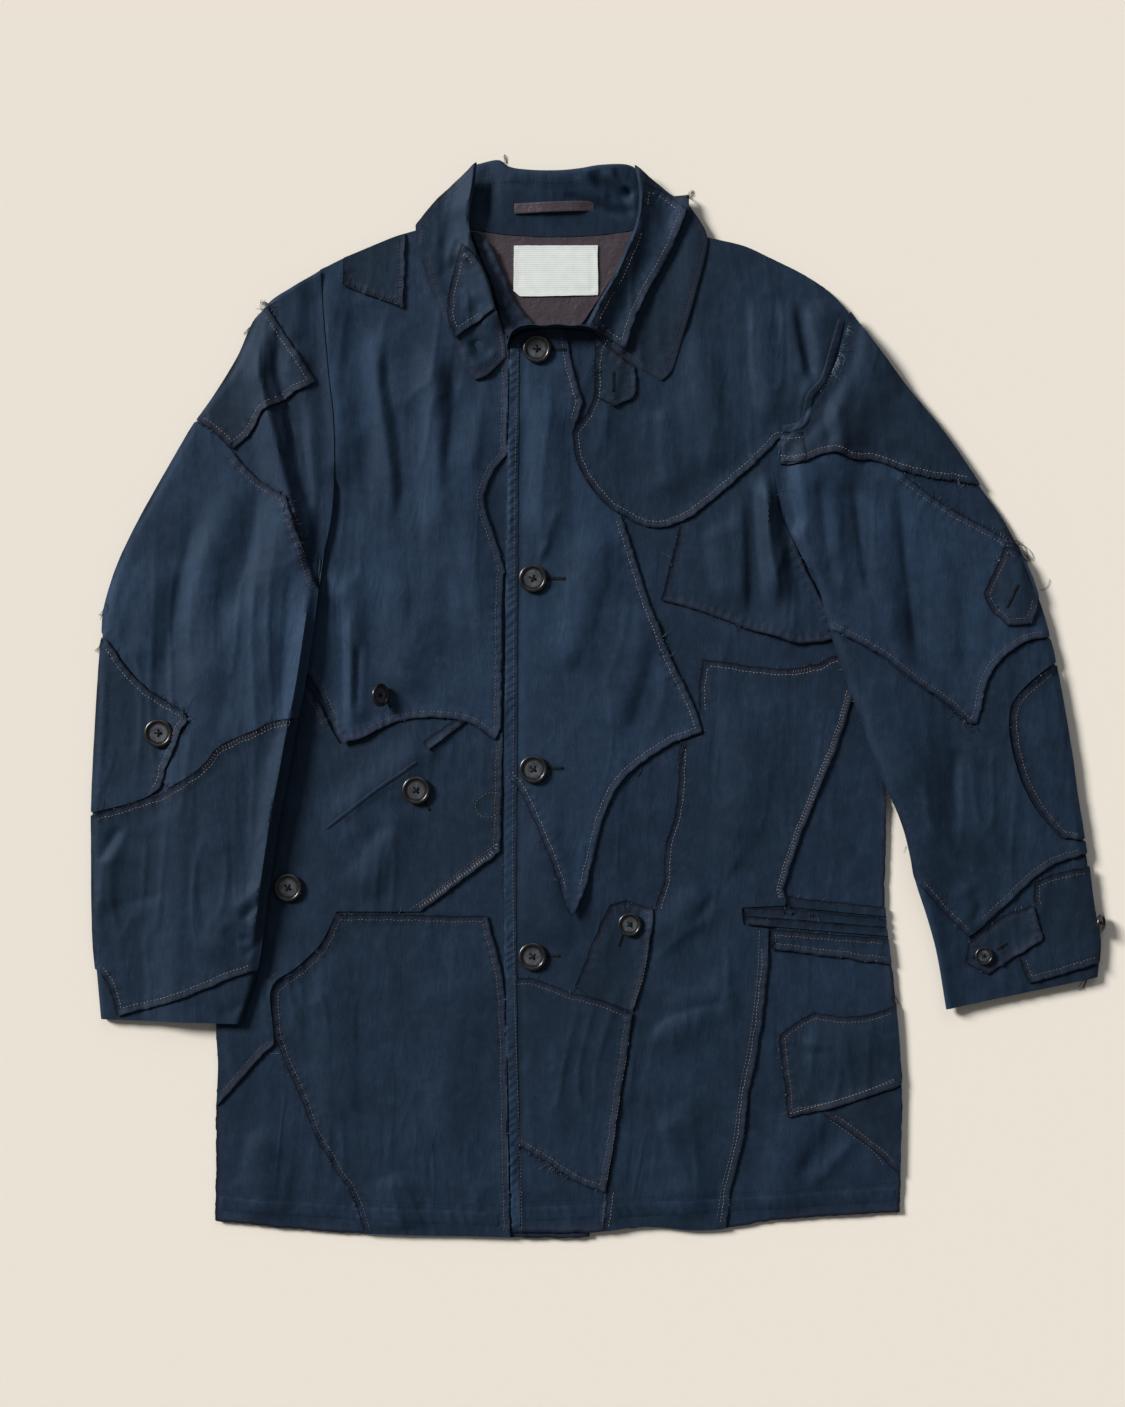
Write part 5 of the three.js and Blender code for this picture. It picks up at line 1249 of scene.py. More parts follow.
def button_plate(radius, thick, corner_angles):
    """The dished middle of a button, with four holes through it."""
    dish = radius * 0.66
    holes = []
    for a in corner_angles:
        middle = np.array([math.cos(a), math.sin(a)]) * radius * 0.205
        holes.append(circle(middle, radius * 0.085, 14, way=-1))
    edges = []
    first = 0
    for count in [48] + [14] * 4:
        edges += [(first + i, first + (i + 1) % count) for i in range(count)]
        first += count
    corners = np.vstack([circle(np.zeros(2), dish, 48), *holes])
    made = delaunay_2d_cdt([Vector(v) for v in corners], edges, [], 0, 1e-8, False)
    flat = np.array([tuple(v) for v in made[0]])
    triangles = np.array(made[2], int)
    centres = flat[triangles].mean(1)
    solid = np.linalg.norm(centres, axis=1) < dish
    for hole in holes:
        solid &= ~is_inside(hole[::-1], centres)
    dished = thick * 0.56 - 0.10 * thick * (1 - (np.linalg.norm(flat, axis=1) / dish) ** 2)
    return thick_sheet(flat, triangles[solid], dished, thick * 0.36)


def button_thread(radius, thick, corner_angles):
    """The cross of thread over the holes, and the stem under the button."""
    strands = []
    for k, a in enumerate(corner_angles[:2]):
        reach = np.array([math.cos(a), math.sin(a)]) * radius * 0.215
        side = np.array([-math.sin(a), math.cos(a)])
        for j in (-1, 0, 1):
            line = []
            for t in np.linspace(-1, 1, 9):
                top = thick * (0.50 + 0.10 * k) + 0.55 * MM * (1 - abs(t) ** 6)
                line.append((*(reach * t + side * j * 0.34 * MM), top if abs(t) < 0.99 else thick * 0.1))
            strands.append(tube(np.array(line), 0.20 * MM, 6))
    wide, slim, low, high = 0.9 * MM, 0.2 * MM, -0.9 * MM, thick * 0.25
    stem = revolve([(slim, low), (slim, high), (wide, high), (wide, low)], 10)
    return join_parts([*strands, stem])


def make_button(name, node, radius, cross_turn, tilt, catcher):
    """A four-hole button with a rolled rim and a dished middle, sewn on with a cross of thread."""
    radius = radius * MM
    thick = 3.4 * MM
    low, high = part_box(node)
    x, y = (low.x + high.x) / 2, (low.y + high.y) / 2
    arc = np.linspace(-0.5, 1.0, 9) * math.pi
    across, up = radius * 0.86 + radius * 0.14 * np.cos(arc), thick * 0.55 + thick * 0.42 * np.sin(arc)
    rim = revolve([*zip(across, up), (radius * 0.60, thick * 0.56), (radius * 0.56, thick * 0.16)], 56)
    corner_angles = [cross_turn + math.pi / 4 + k * math.pi / 2 for k in range(4)]
    cosine, sine = math.cos(tilt), math.sin(tilt)
    lean = np.array([[cosine, 0, sine], [0, 1, 0], [-sine, 0, cosine]])
    spots = (rim[0] @ lean.T)[::7]
    under = np.array([catcher.height(x + px, y + py) for px, py, _ in spots])
    rise = max(under - spots[:, 2]) if tilt else float(np.mean(under)) + 0.5 * MM
    for suffix, (points, faces), look, sharp in (
        ("", rim, "button", 60),
        ("_plate", button_plate(radius, thick, corner_angles), "button_plate", 60),
        ("_thread", button_thread(radius, thick, corner_angles), "thread_black", 180),
    ):
        placed = points @ lean.T + np.array([x, y, rise])
        make_object(name + suffix, placed, faces, look, "button", None if suffix else node, sharp)


def tube(line, radius, sides):
    """A closed tube along a line of places."""
    tangent = np.gradient(line, axis=0)
    tangent /= np.linalg.norm(tangent, axis=1)[:, None]
    side = np.cross(tangent, np.array([0.0, 0.0, 1.0]))
    weak = np.linalg.norm(side, axis=1) < 1e-3
    side[weak] = np.array([1.0, 0, 0])
    side /= np.linalg.norm(side, axis=1)[:, None]
    over = np.cross(side, tangent)
    angle = (np.arange(sides) / sides * 2 * math.pi)[None, :, None]
    rings = line[:, None] + radius * (np.cos(angle) * side[:, None] + np.sin(angle) * over[:, None])
    n = len(line)
    points = np.vstack([rings.reshape(-1, 3), line[:1], line[-1:]])
    first, last, top = n * sides, n * sides + 1, (n - 1) * sides
    caps = []
    for j in range(sides):
        k = (j + 1) % sides
        caps += [(first, k, j, j), (last, top + j, top + k, top + k)]
    return points, np.vstack([grid_quads(n, sides, is_ring=True), caps])


def make_buttonholes(catcher):
    """A slit with a close row of purl stitches round it."""
    purls, slits = [], []
    for start, stop in BUTTONHOLES:
        a, b = plan([start, stop])
        along = (b - a) / np.linalg.norm(b - a)
        side = np.array([-along[1], along[0]])
        count = int(np.linalg.norm(b - a) / (0.75 * MM))
        for k in range(count + 1):
            middle = a + (b - a) * k / count
            z = np.array([catcher.height(*middle)])
            for way in (-1, 1):
                foot, tip = middle + side * way * 0.5 * MM, middle + side * way * 1.6 * MM
                purls.append(spindles(foot[None], tip[None], z, z, 0.3 * MM, 0.2 * MM))
        line = [a + (b - a) * t for t in np.linspace(0, 1, 7)]
        slits.append(tube(np.array([(*p, catcher.height(*p) + 0.2 * MM) for p in line]), 0.62 * MM, 6))
    make_object("buttonholes", *join_parts(purls), "thread_dark", "coat_cloth", sharp=180)
    make_object("buttonhole_slits", *join_parts(slits), "thread_black", "coat_cloth", sharp=180)


# Materials


def linear(hex_colour):
    """An sRGB hex colour as linear red, green, blue and alpha."""
    parts = [int(hex_colour[i:i + 2], 16) / 255 for i in (1, 3, 5)]
    return [c / 12.92 if c <= 0.04045 else ((c + 0.055) / 1.055) ** 2.4 for c in parts] + [1.0]


def add_node(tree, kind, inputs=None, **settings):
    """Adds a node, sets its options, and gives each named input a value or another node's output."""
    node = tree.nodes.new(kind)
    for key, value in settings.items():
        setattr(node, key, value)
    for key, value in (inputs or {}).items():
        if isinstance(value, bpy.types.NodeSocket):
            tree.links.new(value, node.inputs[key])
        else:
            node.inputs[key].default_value = value
    return node


def new_material(name):
    """An empty material, its tree and the place on the object."""
    material = bpy.data.materials.new(name)
    material.use_nodes = True
    tree = material.node_tree
    tree.nodes.clear()
    return material, tree, add_node(tree, "ShaderNodeTexCoord").outputs["Object"]


def finish_material(material, looks):
    """Gives a material one shader with the stated looks."""
    shader = add_node(material.node_tree, "ShaderNodeBsdfPrincipled", looks)
    add_node(material.node_tree, "ShaderNodeOutputMaterial", {"Surface": shader.outputs[0]})
    return material


def mix(tree, factor, a, b):
    return add_node(tree, "ShaderNodeMix", {0: factor, 6: a, 7: b}, data_type="RGBA").outputs[2]


def cloud_of(tree, place, scale, detail, **more):
    """Cloudy noise."""
    inputs = {"Vector": place, "Scale": scale, "Detail": detail, **more}
    return add_node(tree, "ShaderNodeTexNoise", inputs).outputs["Fac"]


def lines_of(tree, place, direction, scale, waver, waver_scale):
    """Fine parallel lines."""
    inputs = {"Vector": place, "Scale": scale, "Distortion": waver, "Detail": 1.0, "Detail Scale": waver_scale}
    return add_node(tree, "ShaderNodeTexWave", inputs, bands_direction=direction).outputs["Fac"]


def stretched(tree, place, turn, scale, shift=(0, 0, 0)):
    inputs = {"Vector": place, "Rotation": (0, 0, turn), "Scale": scale, "Location": shift}
    return add_node(tree, "ShaderNodeMapping", inputs).outputs[0]


def share_of(tree, value, low, high, start=0.0, end=1.0, **settings):
    """A value that runs from low to high, given a share from start to end."""
    inputs = {"Value": value, "From Min": low, "From Max": high, "To Min": start, "To Max": end}
    return add_node(tree, "ShaderNodeMapRange", inputs, **settings).outputs[0]


def calculated(tree, operation, *values):
    return add_node(tree, "ShaderNodeMath", dict(enumerate(values)), operation=operation).outputs[0]


def bump(tree, strength, distance, height, **more):
    inputs = {"Strength": strength, "Distance": distance, "Height": height, **more}
    return add_node(tree, "ShaderNodeBump", inputs).outputs[0]


def cotton_gabardine(name, colours, worn, seed):
    """Fine steep twill in navy cotton, piece dyed and washed soft.

    The eye sees a deep matt blue, greyer where it has rubbed, with long soft creases up the cloth; along the
    raw edges the colour is painted almost black, as painted shade for the shadow under the raised edge
    together with the dark yarn ends. The twill lines are 0.45 mm apart on the real cloth and are drawn at 1.1
    mm so that they show. The seam strips are a little browner.
    """
    material, tree, place = new_material(name)
    shifted = stretched(tree, place, 0, (1, 1, 1), (seed, seed * 0.37, 0))
    rub = cloud_of(tree, shifted, 70.0, 4.0, Roughness=0.7)
    thread = cloud_of(tree, stretched(tree, shifted, 1.1, (900, 130, 300)), 1.0, 2.0)
    twill = lines_of(tree, shifted, "DIAGONAL", 142.0, 0.6, 2.0)
    patchy = share_of(tree, cloud_of(tree, shifted, 11.0, 5.0, Roughness=0.62), 0.3, 0.72)
    colour = mix(tree, patchy, linear(worn[0]), linear(worn[1]))
    colour = mix(tree, share_of(tree, rub, 0.45, 0.85, end=0.35), colour, linear(worn[2]))
    colour = mix(tree, share_of(tree, thread, 0.35, 0.7, end=0.38), colour, linear(worn[3]))
    # The edge mark mixes in painted shade: near black along the raw edges for the shadow under them, with the
    # dark yarn ends. The seam strip mark is the browner cloth.
    for mark, strength in (("seam_strip", 0.36), ("raw_edge_shade", 0.95)):
        marked = add_node(tree, "ShaderNodeAttribute", attribute_name=mark).outputs["Fac"]
        tint = [*getattr(colours, mark), 1.0]
        colour = mix(tree, calculated(tree, "MULTIPLY", marked, strength), colour, tint)
    grain = bump(tree, 0.32, 0.35 * MM, calculated(tree, "MULTIPLY_ADD", twill, 0.35, rub))
    normal = bump(tree, 0.35, 2.2 * MM, cloud_of(tree, shifted, 26.0, 3.0), Normal=grain)
    for across, along, turn, high in ((36.0, 8.0, 0.12, 1.3 * MM), (70.0, 24.0, -0.6, 0.45 * MM)):
        drawn = stretched(tree, shifted, turn, (across, along, 20), (3.7, 0.4, 0))
        field = cloud_of(tree, drawn, 1.0, 1.5, Distortion=0.5)
        folded = calculated(tree, "ABSOLUTE", calculated(tree, "SUBTRACT", field, 0.5))
        ridge = share_of(tree, folded, 0.0, 0.15, 1.0, 0.0, interpolation_type="SMOOTHSTEP")
        normal = bump(tree, 0.36, high, calculated(tree, "MULTIPLY", ridge, patchy), Normal=normal)
    return finish_material(material, {
        "Base Color": colour, "Roughness": share_of(tree, rub, 0.0, 1.0, 0.56, 0.74), "Normal": normal,
        "IOR": 1.46, "Specular IOR Level": 0.3, "Specular Tint": linear("#a8c4ee"), "Sheen Weight": 0.04,
        "Sheen Roughness": 0.4, "Sheen Tint": linear("#8fb0e0"),
    })


def bemberg_lining(name, hex_colour):
    """Smooth cupro lining, plain woven: purple brown, with a soft shine that follows its creases."""
    material, tree, place = new_material(name)
    crease = cloud_of(tree, place, 130.0, 5.0, Distortion=1.2)
    base = linear(hex_colour)
    lighter = [min(1, c * 1.5) for c in base[:3]] + [1.0]
    return finish_material(material, {
        "Base Color": mix(tree, cloud_of(tree, place, 60.0, 4.0), base, lighter), "Roughness": 0.48,
        "Normal": bump(tree, 0.5, 1.2 * MM, crease), "IOR": 1.5, "Specular IOR Level": 0.45,
        "Sheen Weight": 0.3, "Sheen Tint": linear("#b9a9bd"),
    })


def woven_label(name, hex_colour):
    """Damask label in white polyester: level rows 0.5 mm apart, drawn at 0.9 mm, and nothing written."""
    material, tree, place = new_material(name)
    rows = lines_of(tree, place, "Y", 175.0, 0.4, 1.0)
    base = linear(hex_colour)
    colour = mix(tree, rows, [c * 0.86 for c in base[:3]] + [1.0], base)
    grime = share_of(tree, cloud_of(tree, place, 160.0, 3.0), 0.4, 0.8, end=0.25)
    return finish_material(material, {
        "Base Color": mix(tree, grime, colour, linear("#a9b3b8")), "Roughness": 0.7,
        "Normal": bump(tree, 0.4, 0.2 * MM, rows), "IOR": 1.5, "Specular IOR Level": 0.35,
    })


def spun_thread(name, hex_colour, other):
    """Spun polyester thread: matt, with lighter and darker stitches along a seam."""
    material, tree, place = new_material(name)
    share = share_of(tree, cloud_of(tree, place, 180.0, 3.0), 0.35, 0.65)
    return finish_material(material, {
        "Base Color": mix(tree, share, linear(hex_colour), linear(other)), "Roughness": 0.85, "IOR": 1.5,
        "Specular IOR Level": 0.2, "Sheen Weight": 0.03,
    })


def urea_button(name, hex_colour, lighter, rough):
    """Moulded urea button, tumbled to a low polish: black with faint grey clouds and fine turning marks."""
    material, tree, place = new_material(name)
    share = share_of(tree, cloud_of(tree, place, 190.0, 4.0, Distortion=0.8), 0.42, 0.75)
    scratch = cloud_of(tree, place, 1500.0, 3.0)
    return finish_material(material, {
        "Base Color": mix(tree, share, linear(hex_colour), linear(lighter)),
        "Roughness": share_of(tree, scratch, 0.0, 1.0, rough, rough + 0.18),
        "Normal": bump(tree, 0.12, 0.1 * MM, scratch), "IOR": 1.54, "Specular IOR Level": 0.5,
        "Coat Weight": 0.12, "Coat Roughness": 0.2,
    })


def painted_board(name, colour):
    """Smooth painted board, matt and pale, as the plain ground."""
    material, tree, place = new_material(name)
    darker = [c * 0.985 for c in colour]
    tint = mix(tree, cloud_of(tree, place, 400.0, 2.0), [*darker, 1.0], [*colour, 1.0])
    return finish_material(material, {"Base Color": tint, "Roughness": 0.9, "Specular IOR Level": 0.2})


# The cottons: tone, end of the name, its darker, lighter, rubbed and deepest blue, and the place of its wear.
# The light tone, whose name ends in pale, is a lighter copy of the same cotton: painted sheen for the pieces
# where the lamp's sheen falls brighter.
COTTONS = [
    ("coat", "coat", ("#131e2c", "#1b2a3d", "#2b3d54", "#0c141e"), 0.0),
    ("patch", "patch", ("#131f2c", "#1b2a3c", "#2b3c52", "#0c141d"), 3.1),
    ("light", "pale", ("#172434", "#203248", "#32465f", "#0f1924"), 5.3),
    ("dark", "scrap", ("#121c28", "#1a2838", "#29394e", "#0b131c"), 7.7),
]


def make_materials():
    colours = bpy.context.scene.coat_colours
    for tone, end, worn, seed in COTTONS:
        materials[tone] = cotton_gabardine("cotton_gabardine_" + end, colours, worn, seed)
    materials.update({
        "lining": bemberg_lining("cupro_lining", "#2b242c"),
        "label": woven_label("damask_label", "#d3dadb"),
        "thread_tan": spun_thread("spun_thread_tan", "#564f4e", "#776d66"),
        "thread_pale": spun_thread("spun_thread_pale", "#6c7072", "#93938f"),
        "thread_navy": spun_thread("spun_thread_navy", "#141e2a", "#26354a"),
        "thread_dark": spun_thread("frayed_yarn_navy", "#0c131c", "#1a2635"),
        "thread_faded": spun_thread("frayed_yarn_faded", "#34465c", "#5f7388"),
        "thread_black": spun_thread("button_thread_black", "#07080b", "#101217"),
        "button": urea_button("urea_button_rim", "#0c0d10", "#1c1e23", 0.22),
        # The face is a lighter grey than the black rim: partly the face's own grey, partly painted reflection.
        "button_plate": urea_button("urea_button_face_reflection", "#292d34", "#4b515b", 0.36),
        "board": painted_board("painted_board", colours.ground),
    })


# The sizes and colours that a user would change


def colour_property(name, description, hex_colour):
    return bpy.props.FloatVectorProperty(name=name, description=description, subtype="COLOR", size=3, min=0,
                                         max=1, default=linear(hex_colour)[:3])


def length_property(name, description, default):
    return bpy.props.FloatProperty(name=name, description=description, default=default, min=0, unit="LENGTH",
                                   precision=5)


class CoatSizes(bpy.types.PropertyGroup):
    """Sizes of the sewing and of the raw edges."""

    mesh_step: length_property("Mesh step", "Spacing of the points in a patch", 2.5 * MM)
    panel_step: length_property("Panel step", "Spacing of the points in a body panel", 3.5 * MM)
    pucker: length_property("Pucker", "Height of the puckers along a sewn edge", 0.42 * MM)
    edge_lift: length_property("Edge lift", "How far an edge rises to lie on its neighbour", 1.0 * MM)
    edge_curl: length_property("Edge curl", "How far a raw edge curls up", 0.85 * MM)
    stitch_inset: length_property("Stitch inset", "From a raw edge to its row of stitches", 5.0 * MM)
    stitch_pitch: length_property("Stitch pitch", "From one stitch to the next", 3.0 * MM)
    stitch_length: length_property("Stitch length", "Length of a stitch", 2.0 * MM)
    fray_length: length_property("Loose thread", "Usual length of a loose thread", 3.0 * MM)
    fray_per_step: bpy.props.FloatProperty(
        name="Loose threads", description="Loose threads for each 2.2 mm of edge", default=2.6, min=0)


class CoatColours(bpy.types.PropertyGroup):
    """Colours of the coat and of the ground."""

    seam_strip: colour_property("Seam strip", "The browner cloth beside a sewn edge", "#2f2b36")
    # Painted shade: the near black along each raw edge stands for the shadow under the raised edge, together
    # with the dark yarn ends.
    raw_edge_shade: colour_property("Raw edge", "The dark ends of the yarns in a raw edge", "#05080e")
    ground: colour_property("Ground", "The board that the coat lies on", "#dedad2")


# One operator for each piece or group of like pieces


class MakeBody(bpy.types.Operator):
    """Make the back and the two fronts"""

    bl_idname = "coat.make_body"
    bl_label = "Back and fronts"

    def execute(self, context):
        make_materials()
        step = context.scene.coat_sizes.panel_step
        for node in ("front_right", "front_left"):
            body_edges.append(even_steps(smoothed_edge(cut_edge(node), 3 * MM), 5 * MM))
        lay_cloth("back_panel", "back", lambda p: np.full(len(p), BACK_TOP), 0, "coat", "navy", 8 * MM,
                  thickness=BACK_TOP, pucker=0, slot="coat_cloth")
        for name, node, surface, under in (
            ("right_front_panel", "front_right", right_front, "back_panel"),
            ("left_front_panel", "front_left", left_front, "right_front_panel"),
        ):
            lay_cloth(name, node, surface, 0, "coat", "navy", step, thickness=1.2 * MM,
                      pucker=0.4, slot="coat_cloth")
        for cloth in cloths.values():
            cloth["free"][:] = 0
        return {"FINISHED"}


def lay_group(group, surface, panel, side_of=None, extras=None, seed=100):
    """Lays patches in order. Each knows which neighbours lie over and under it."""
    step = bpy.context.scene.coat_sizes.mesh_step
    edges = {row[1]: even_steps(smoothed_edge(cut_edge(row[1]), 2 * MM), 4 * MM) for row in group}
    for k, (name, node, level, thread, tone) in enumerate(group):
        above = [edges[row[1]] for row in group[k + 1:] if row[2] == level]
        below = [edges[row[1]] for row in group[:k] if row[2] == level]
        lay_cloth(name, node, surface, level, tone, thread, step, panel=panel, above=above, below=below,
                  seed=seed + 17 * k, side_of=side_of, extra=(extras or {}).get(name))


def lifted_corner(place, rise, reach):
    tip = plan([place])[0]
    return lambda p: rise * MM * np.exp(-(((p - tip) ** 2).sum(1)) / (reach * MM) ** 2)


class MakeFrontPatches(bpy.types.Operator):
    """Lay the patches, pocket and tab on the two fronts"""

    bl_idname = "coat.make_front_patches"
    bl_label = "Patches on the fronts"

    def execute(self, context):
        right_panel, left_panel = (cloths[n]["edge"] for n in ("right_front_panel", "left_front_panel"))
        lay_group(RIGHT_FRONT, right_front, [right_panel],
                  extras={"chest_patch": lifted_corner((346, 738), 2.4, 26)})
        lay_group(LEFT_FRONT, left_front, [left_panel], seed=300,
                  extras={"tongue_patch": lifted_corner((573, 905), 3, 24),
                          "chest_flap": lifted_corner((780, 640), 2.4, 26)})
        return {"FINISHED"}


class MakeSleeves(bpy.types.Operator):
    """Make the two sleeves and lay their patches"""

    bl_idname = "coat.make_sleeves"
    bl_label = "Sleeves"

    def execute(self, context):
        for side in ("right", "left"):
            make_sleeve(side)
            outer, inner, armhole = sleeve_sides(side)
            lay_group(SLEEVE_PATCHES[side], lambda p, s=side: sleeve_height(s, p, 0.8 * MM),
                      [outer, inner, armhole], side_of=(outer, inner),
                      seed=500 if side == "right" else 700)
        return {"FINISHED"}


def collar_surface(p):
    """The folded leaves: they roll over a fold line on the neck side."""
    height = COLLAR_OVER_BODY + 0.6 * body_relief(p) + folds_at(COLLAR_FOLDS, p, open_ends=True)
    height += COLLAR_CREASE_RISE * folds_at(COLLAR_CREASES, p, crispness=CRISP) + rumple(p, 53, 0.9)
    height += upper_front_step(p) * smoothstep(plan([(560, 0)])[0, 0], plan([(575, 0)])[0, 0], p[:, 0])
    return height


def roll_over(edge_line, depth, width):
    """Lets a leaf turn down over its fold line."""

    def drop(p):
        t = np.clip(nearest_on_line(edge_line, p)[0] / width, 0, 1)
        return -depth * (1 - np.sqrt(1 - (1 - t) ** 2))

    return drop


LEAF_FOLD_RIGHT = [(477.5, 166), (475, 190), (471.5, 212), (469.5, 232), (478, 256), (488, 280), (496.5, 312)]
LEAF_FOLD_LEFT = [(634, 168), (638.5, 195), (636, 224), (627, 246), (612.7, 280), (600.6, 299.6),
                  (586.5, 326)]
FOLD_LINE = [(476.5, 165), (500, 161.5), (509, 168), (530, 171.5), (560, 172), (580, 170), (600, 166.5),
             (628, 166), (637, 170)]
THROAT_EDGE = [(505.5, 356), (507.5, 345), (511, 337), (518, 331.5), (530, 328.5), (548, 327.5), (566, 327.5),
               (584, 329), (601, 333)]
STAND_SEAM = [(464, 228.5), (482, 231.5), (500, 234.5), (530, 237), (560, 237.5), (590, 236.5), (610, 234.5),
              (630, 231.5), (645, 228)]


def make_collar_back():
    """The stand faces up, the fold stands at the top of the neck, and the fall lies under it."""
    count = 90
    shares = np.arange(count + 1) / count
    top = points_along(curve_through(plan(FOLD_LINE), 3 * MM), shares)
    seam = points_along(curve_through(plan(STAND_SEAM), 3 * MM), shares)
    tall = (3.6 + 2 * shares + 7.5 * np.sin(math.pi * shares) ** 0.8) * MM
    depth = np.linalg.norm(top - seam, axis=1)
    seam_height = BACK_TOP + 0.3 * MM
    pucker = 0.3 * MM * noise_along(shares, 0.035, 3) * (0.4 + shares)

    def surface(inset):
        columns = []

        def place(back, z):
            xy = seam + (top - seam) * (1 - back / depth)[:, None]
            columns.append(np.column_stack([xy, z]))

        for s in (0.86, 0.72, 0.58, 0.45, 0.34):
            place(depth * s, np.full(len(shares), inset))
        r = tall / 2 - inset
        for a in np.linspace(-0.5, 0.5, 15) * math.pi:
            place(tall / 2 - r * math.cos(a), tall / 2 + r * math.sin(a) + pucker * max(0, math.sin(a)) * 0.6)
        for s in np.linspace(0.08, 1, 22):
            z = seam_height + (tall - seam_height - 1.2 * MM) * (1 - s) ** 1.4 + 1.4 * MM - inset
            back = tall / 2 + (depth - tall / 2) * s
            xy = seam + (top - seam) * (1 - back / depth)[:, None]
            rough = (rumple(xy, 71, 0.55) + folds_at(STAND_CREASES, xy)) * math.sin(math.pi * s) ** 0.5
            wave = pucker * np.exp(-((s - 0.12) / 0.12) ** 2) * 0.8
            dip = -0.4 * MM * math.exp(-((s - 0.2) / 0.02) ** 2)
            place(back, z + rough + wave + dip)
        return np.stack(columns, axis=1)

    outside = surface(0.0)
    points, faces = double_wall(outside, surface(1.2 * MM), is_ring=False)
    made = make_object("collar_stand", points, faces, "coat", "coat_cloth", "collar_back",
                       marks=unworn(points))


class MakeCollar(bpy.types.Operator):
    """Make the collar's two leaves, its back and the crumpled facing"""

    bl_idname = "coat.make_collar"
    bl_label = "Collar"

    def execute(self, context):
        step = 2.4 * MM
        make_collar_back()
        for k, (name, node, level, thread, tone) in enumerate(COLLAR_CLOTHS):
            fold = LEAF_FOLD_RIGHT if name.endswith("right") else LEAF_FOLD_LEFT
            fold_line = curve_through(plan(fold), 4 * MM)
            lay_cloth(name, node, collar_surface, level * 1.3, tone, thread, step, panel=[fold_line],
                      seed=900 + 11 * k, is_finished=level == 0,
                      slot="patch_cloth" if level else "coat_cloth",
                      extra=roll_over(fold_line, 3.4 * MM, 4.2 * MM))

        def crumpled(p):
            slanting = p @ np.array([[0.85, -0.53], [0.53, 0.85]])
            pleats = (1 - np.abs(noise(slanting, np.array([0.009, 0.03]), 61))) ** 2
            pleats += 0.6 * np.abs(noise(p, 0.007, 62))
            return COLLAR_OVER_BODY + 0.5 * body_relief(p) + 2.2 * MM * pleats

        lay_cloth("neck_facing", "neck_facing_right", crumpled, 0, "dark", "navy", step,
                  thickness=0.9 * MM, seed=990, slot="coat_cloth")
        cloths["neck_facing"]["is_finished"] = True
        return {"FINISHED"}


class MakeNeck(bpy.types.Operator):
    """Make the yoke lining, the blank label and the hanger loop"""

    bl_idname = "coat.make_neck"
    bl_label = "Lining, label and loop"

    def execute(self, context):
        def lining_surface(p):
            return 2.75 * MM + rumple(p, 81, 0.35) * 0.6

        def label_surface(p):
            return 4.0 * MM + 0.25 * MM * noise(p, 0.02, 91)

        lay_cloth("lining", "yoke_lining", lining_surface, 0, "lining", "navy", 2.4 * MM,
                  thickness=0.6 * MM, pucker=0, slot="lining", is_finished=True)
        lay_cloth("label", "neck_label", label_surface, 0, "label", "pale", 2.2 * MM,
                  thickness=0.5 * MM, pucker=0.2, slot="label", is_finished=True)
        for name in ("lining", "label"):
            cloths[name]["free"][:] = 0
        a, b = plan([(514.5, 210.5), (594, 207.5)])
        along = (b - a) / np.linalg.norm(b - a)
        across = np.array([-along[1], along[0]])
        catcher = Catcher(["collar_stand"])
        u = np.linspace(0, 1, 41)
        v = np.linspace(-1, 1, 9)
        grid_points, tops = [], []
        for s in u:
            middle = a + (b - a) * s
            z = catcher.height(*middle) + (0.7 + 1.5 * math.sin(math.pi * s) ** 0.6) * MM
            for w in v:
                grid_points.append(middle + across * w * 4.2 * MM)
                tops.append(z + 0.15 * MM * math.cos(w * 9) * (abs(w) > 0.5))
        triangles = grid_triangles(len(u), len(v))
        points, faces = thick_sheet(np.array(grid_points), triangles, np.array(tops), 0.8 * MM)
        make_object("loop", points, faces, "lining", "lining", "hanger_loop")
        return {"FINISHED"}


def make_throat_rim(catcher):
    """The top edge of the left front, which stands up round the top button and shades it."""
    line = curve_through(plan(THROAT_EDGE), 1.2 * MM)
    beside = directions(line)[1]
    share = np.linspace(0, 1, len(line))
    height = 17 * MM * smoothstep(0, 0.2, share) * smoothstep(0, 0.1, 1 - share)
    padded = np.pad(catcher.heights(line), 4, "edge")
    ground = np.maximum(np.convolve(padded, np.full(9, 1 / 9), "valid"), 3.5 * MM)
    lean = -1.2 * MM + 1.2 * MM * noise_along(share, 0.12, 77)
    thick = 0.9 * MM
    section = [(-1, -0.2), (-1, 0.6), (-0.75, 0.92), (0, 1.0), (0.75, 0.92), (1, 0.6), (1, -0.2)]
    columns = []
    for across, up in section:
        xy = line + beside * (across * thick + lean * max(up, 0))[:, None]
        z = np.maximum(ground + height * up + 0.3 * MM * (up > 0) - 0.6 * MM * (up < 0), 0.3 * MM)
        columns.append(np.column_stack([xy, z]))
    grid = np.stack(columns, axis=1)
    rows, m = grid.shape[:2]
    last = (rows - 1) * m
    caps = []
    for k in range(1, m - 1):
        caps += [(0, k + 1, k, k), (last, last + k, last + k + 1, last + k + 1)]
    points = grid.reshape(-1, 3)
    faces = facing_out(points, np.vstack([grid_quads(rows, m, is_ring=True), caps]))
    # The rim is made in the light tone, a lighter copy of the cotton: painted highlight for its lit top edge.
    make_object("throat_rim", points, faces, "light", "coat_cloth", marks=unworn(points))


def catcher_of(*more):
    """Finds the top of the cloths, the sleeves and the other pieces that are named."""
    laid = [cloth["piece"] for cloth in cloths.values()]
    return Catcher([*laid, "sleeve_tube_right", "sleeve_tube_left", *more])


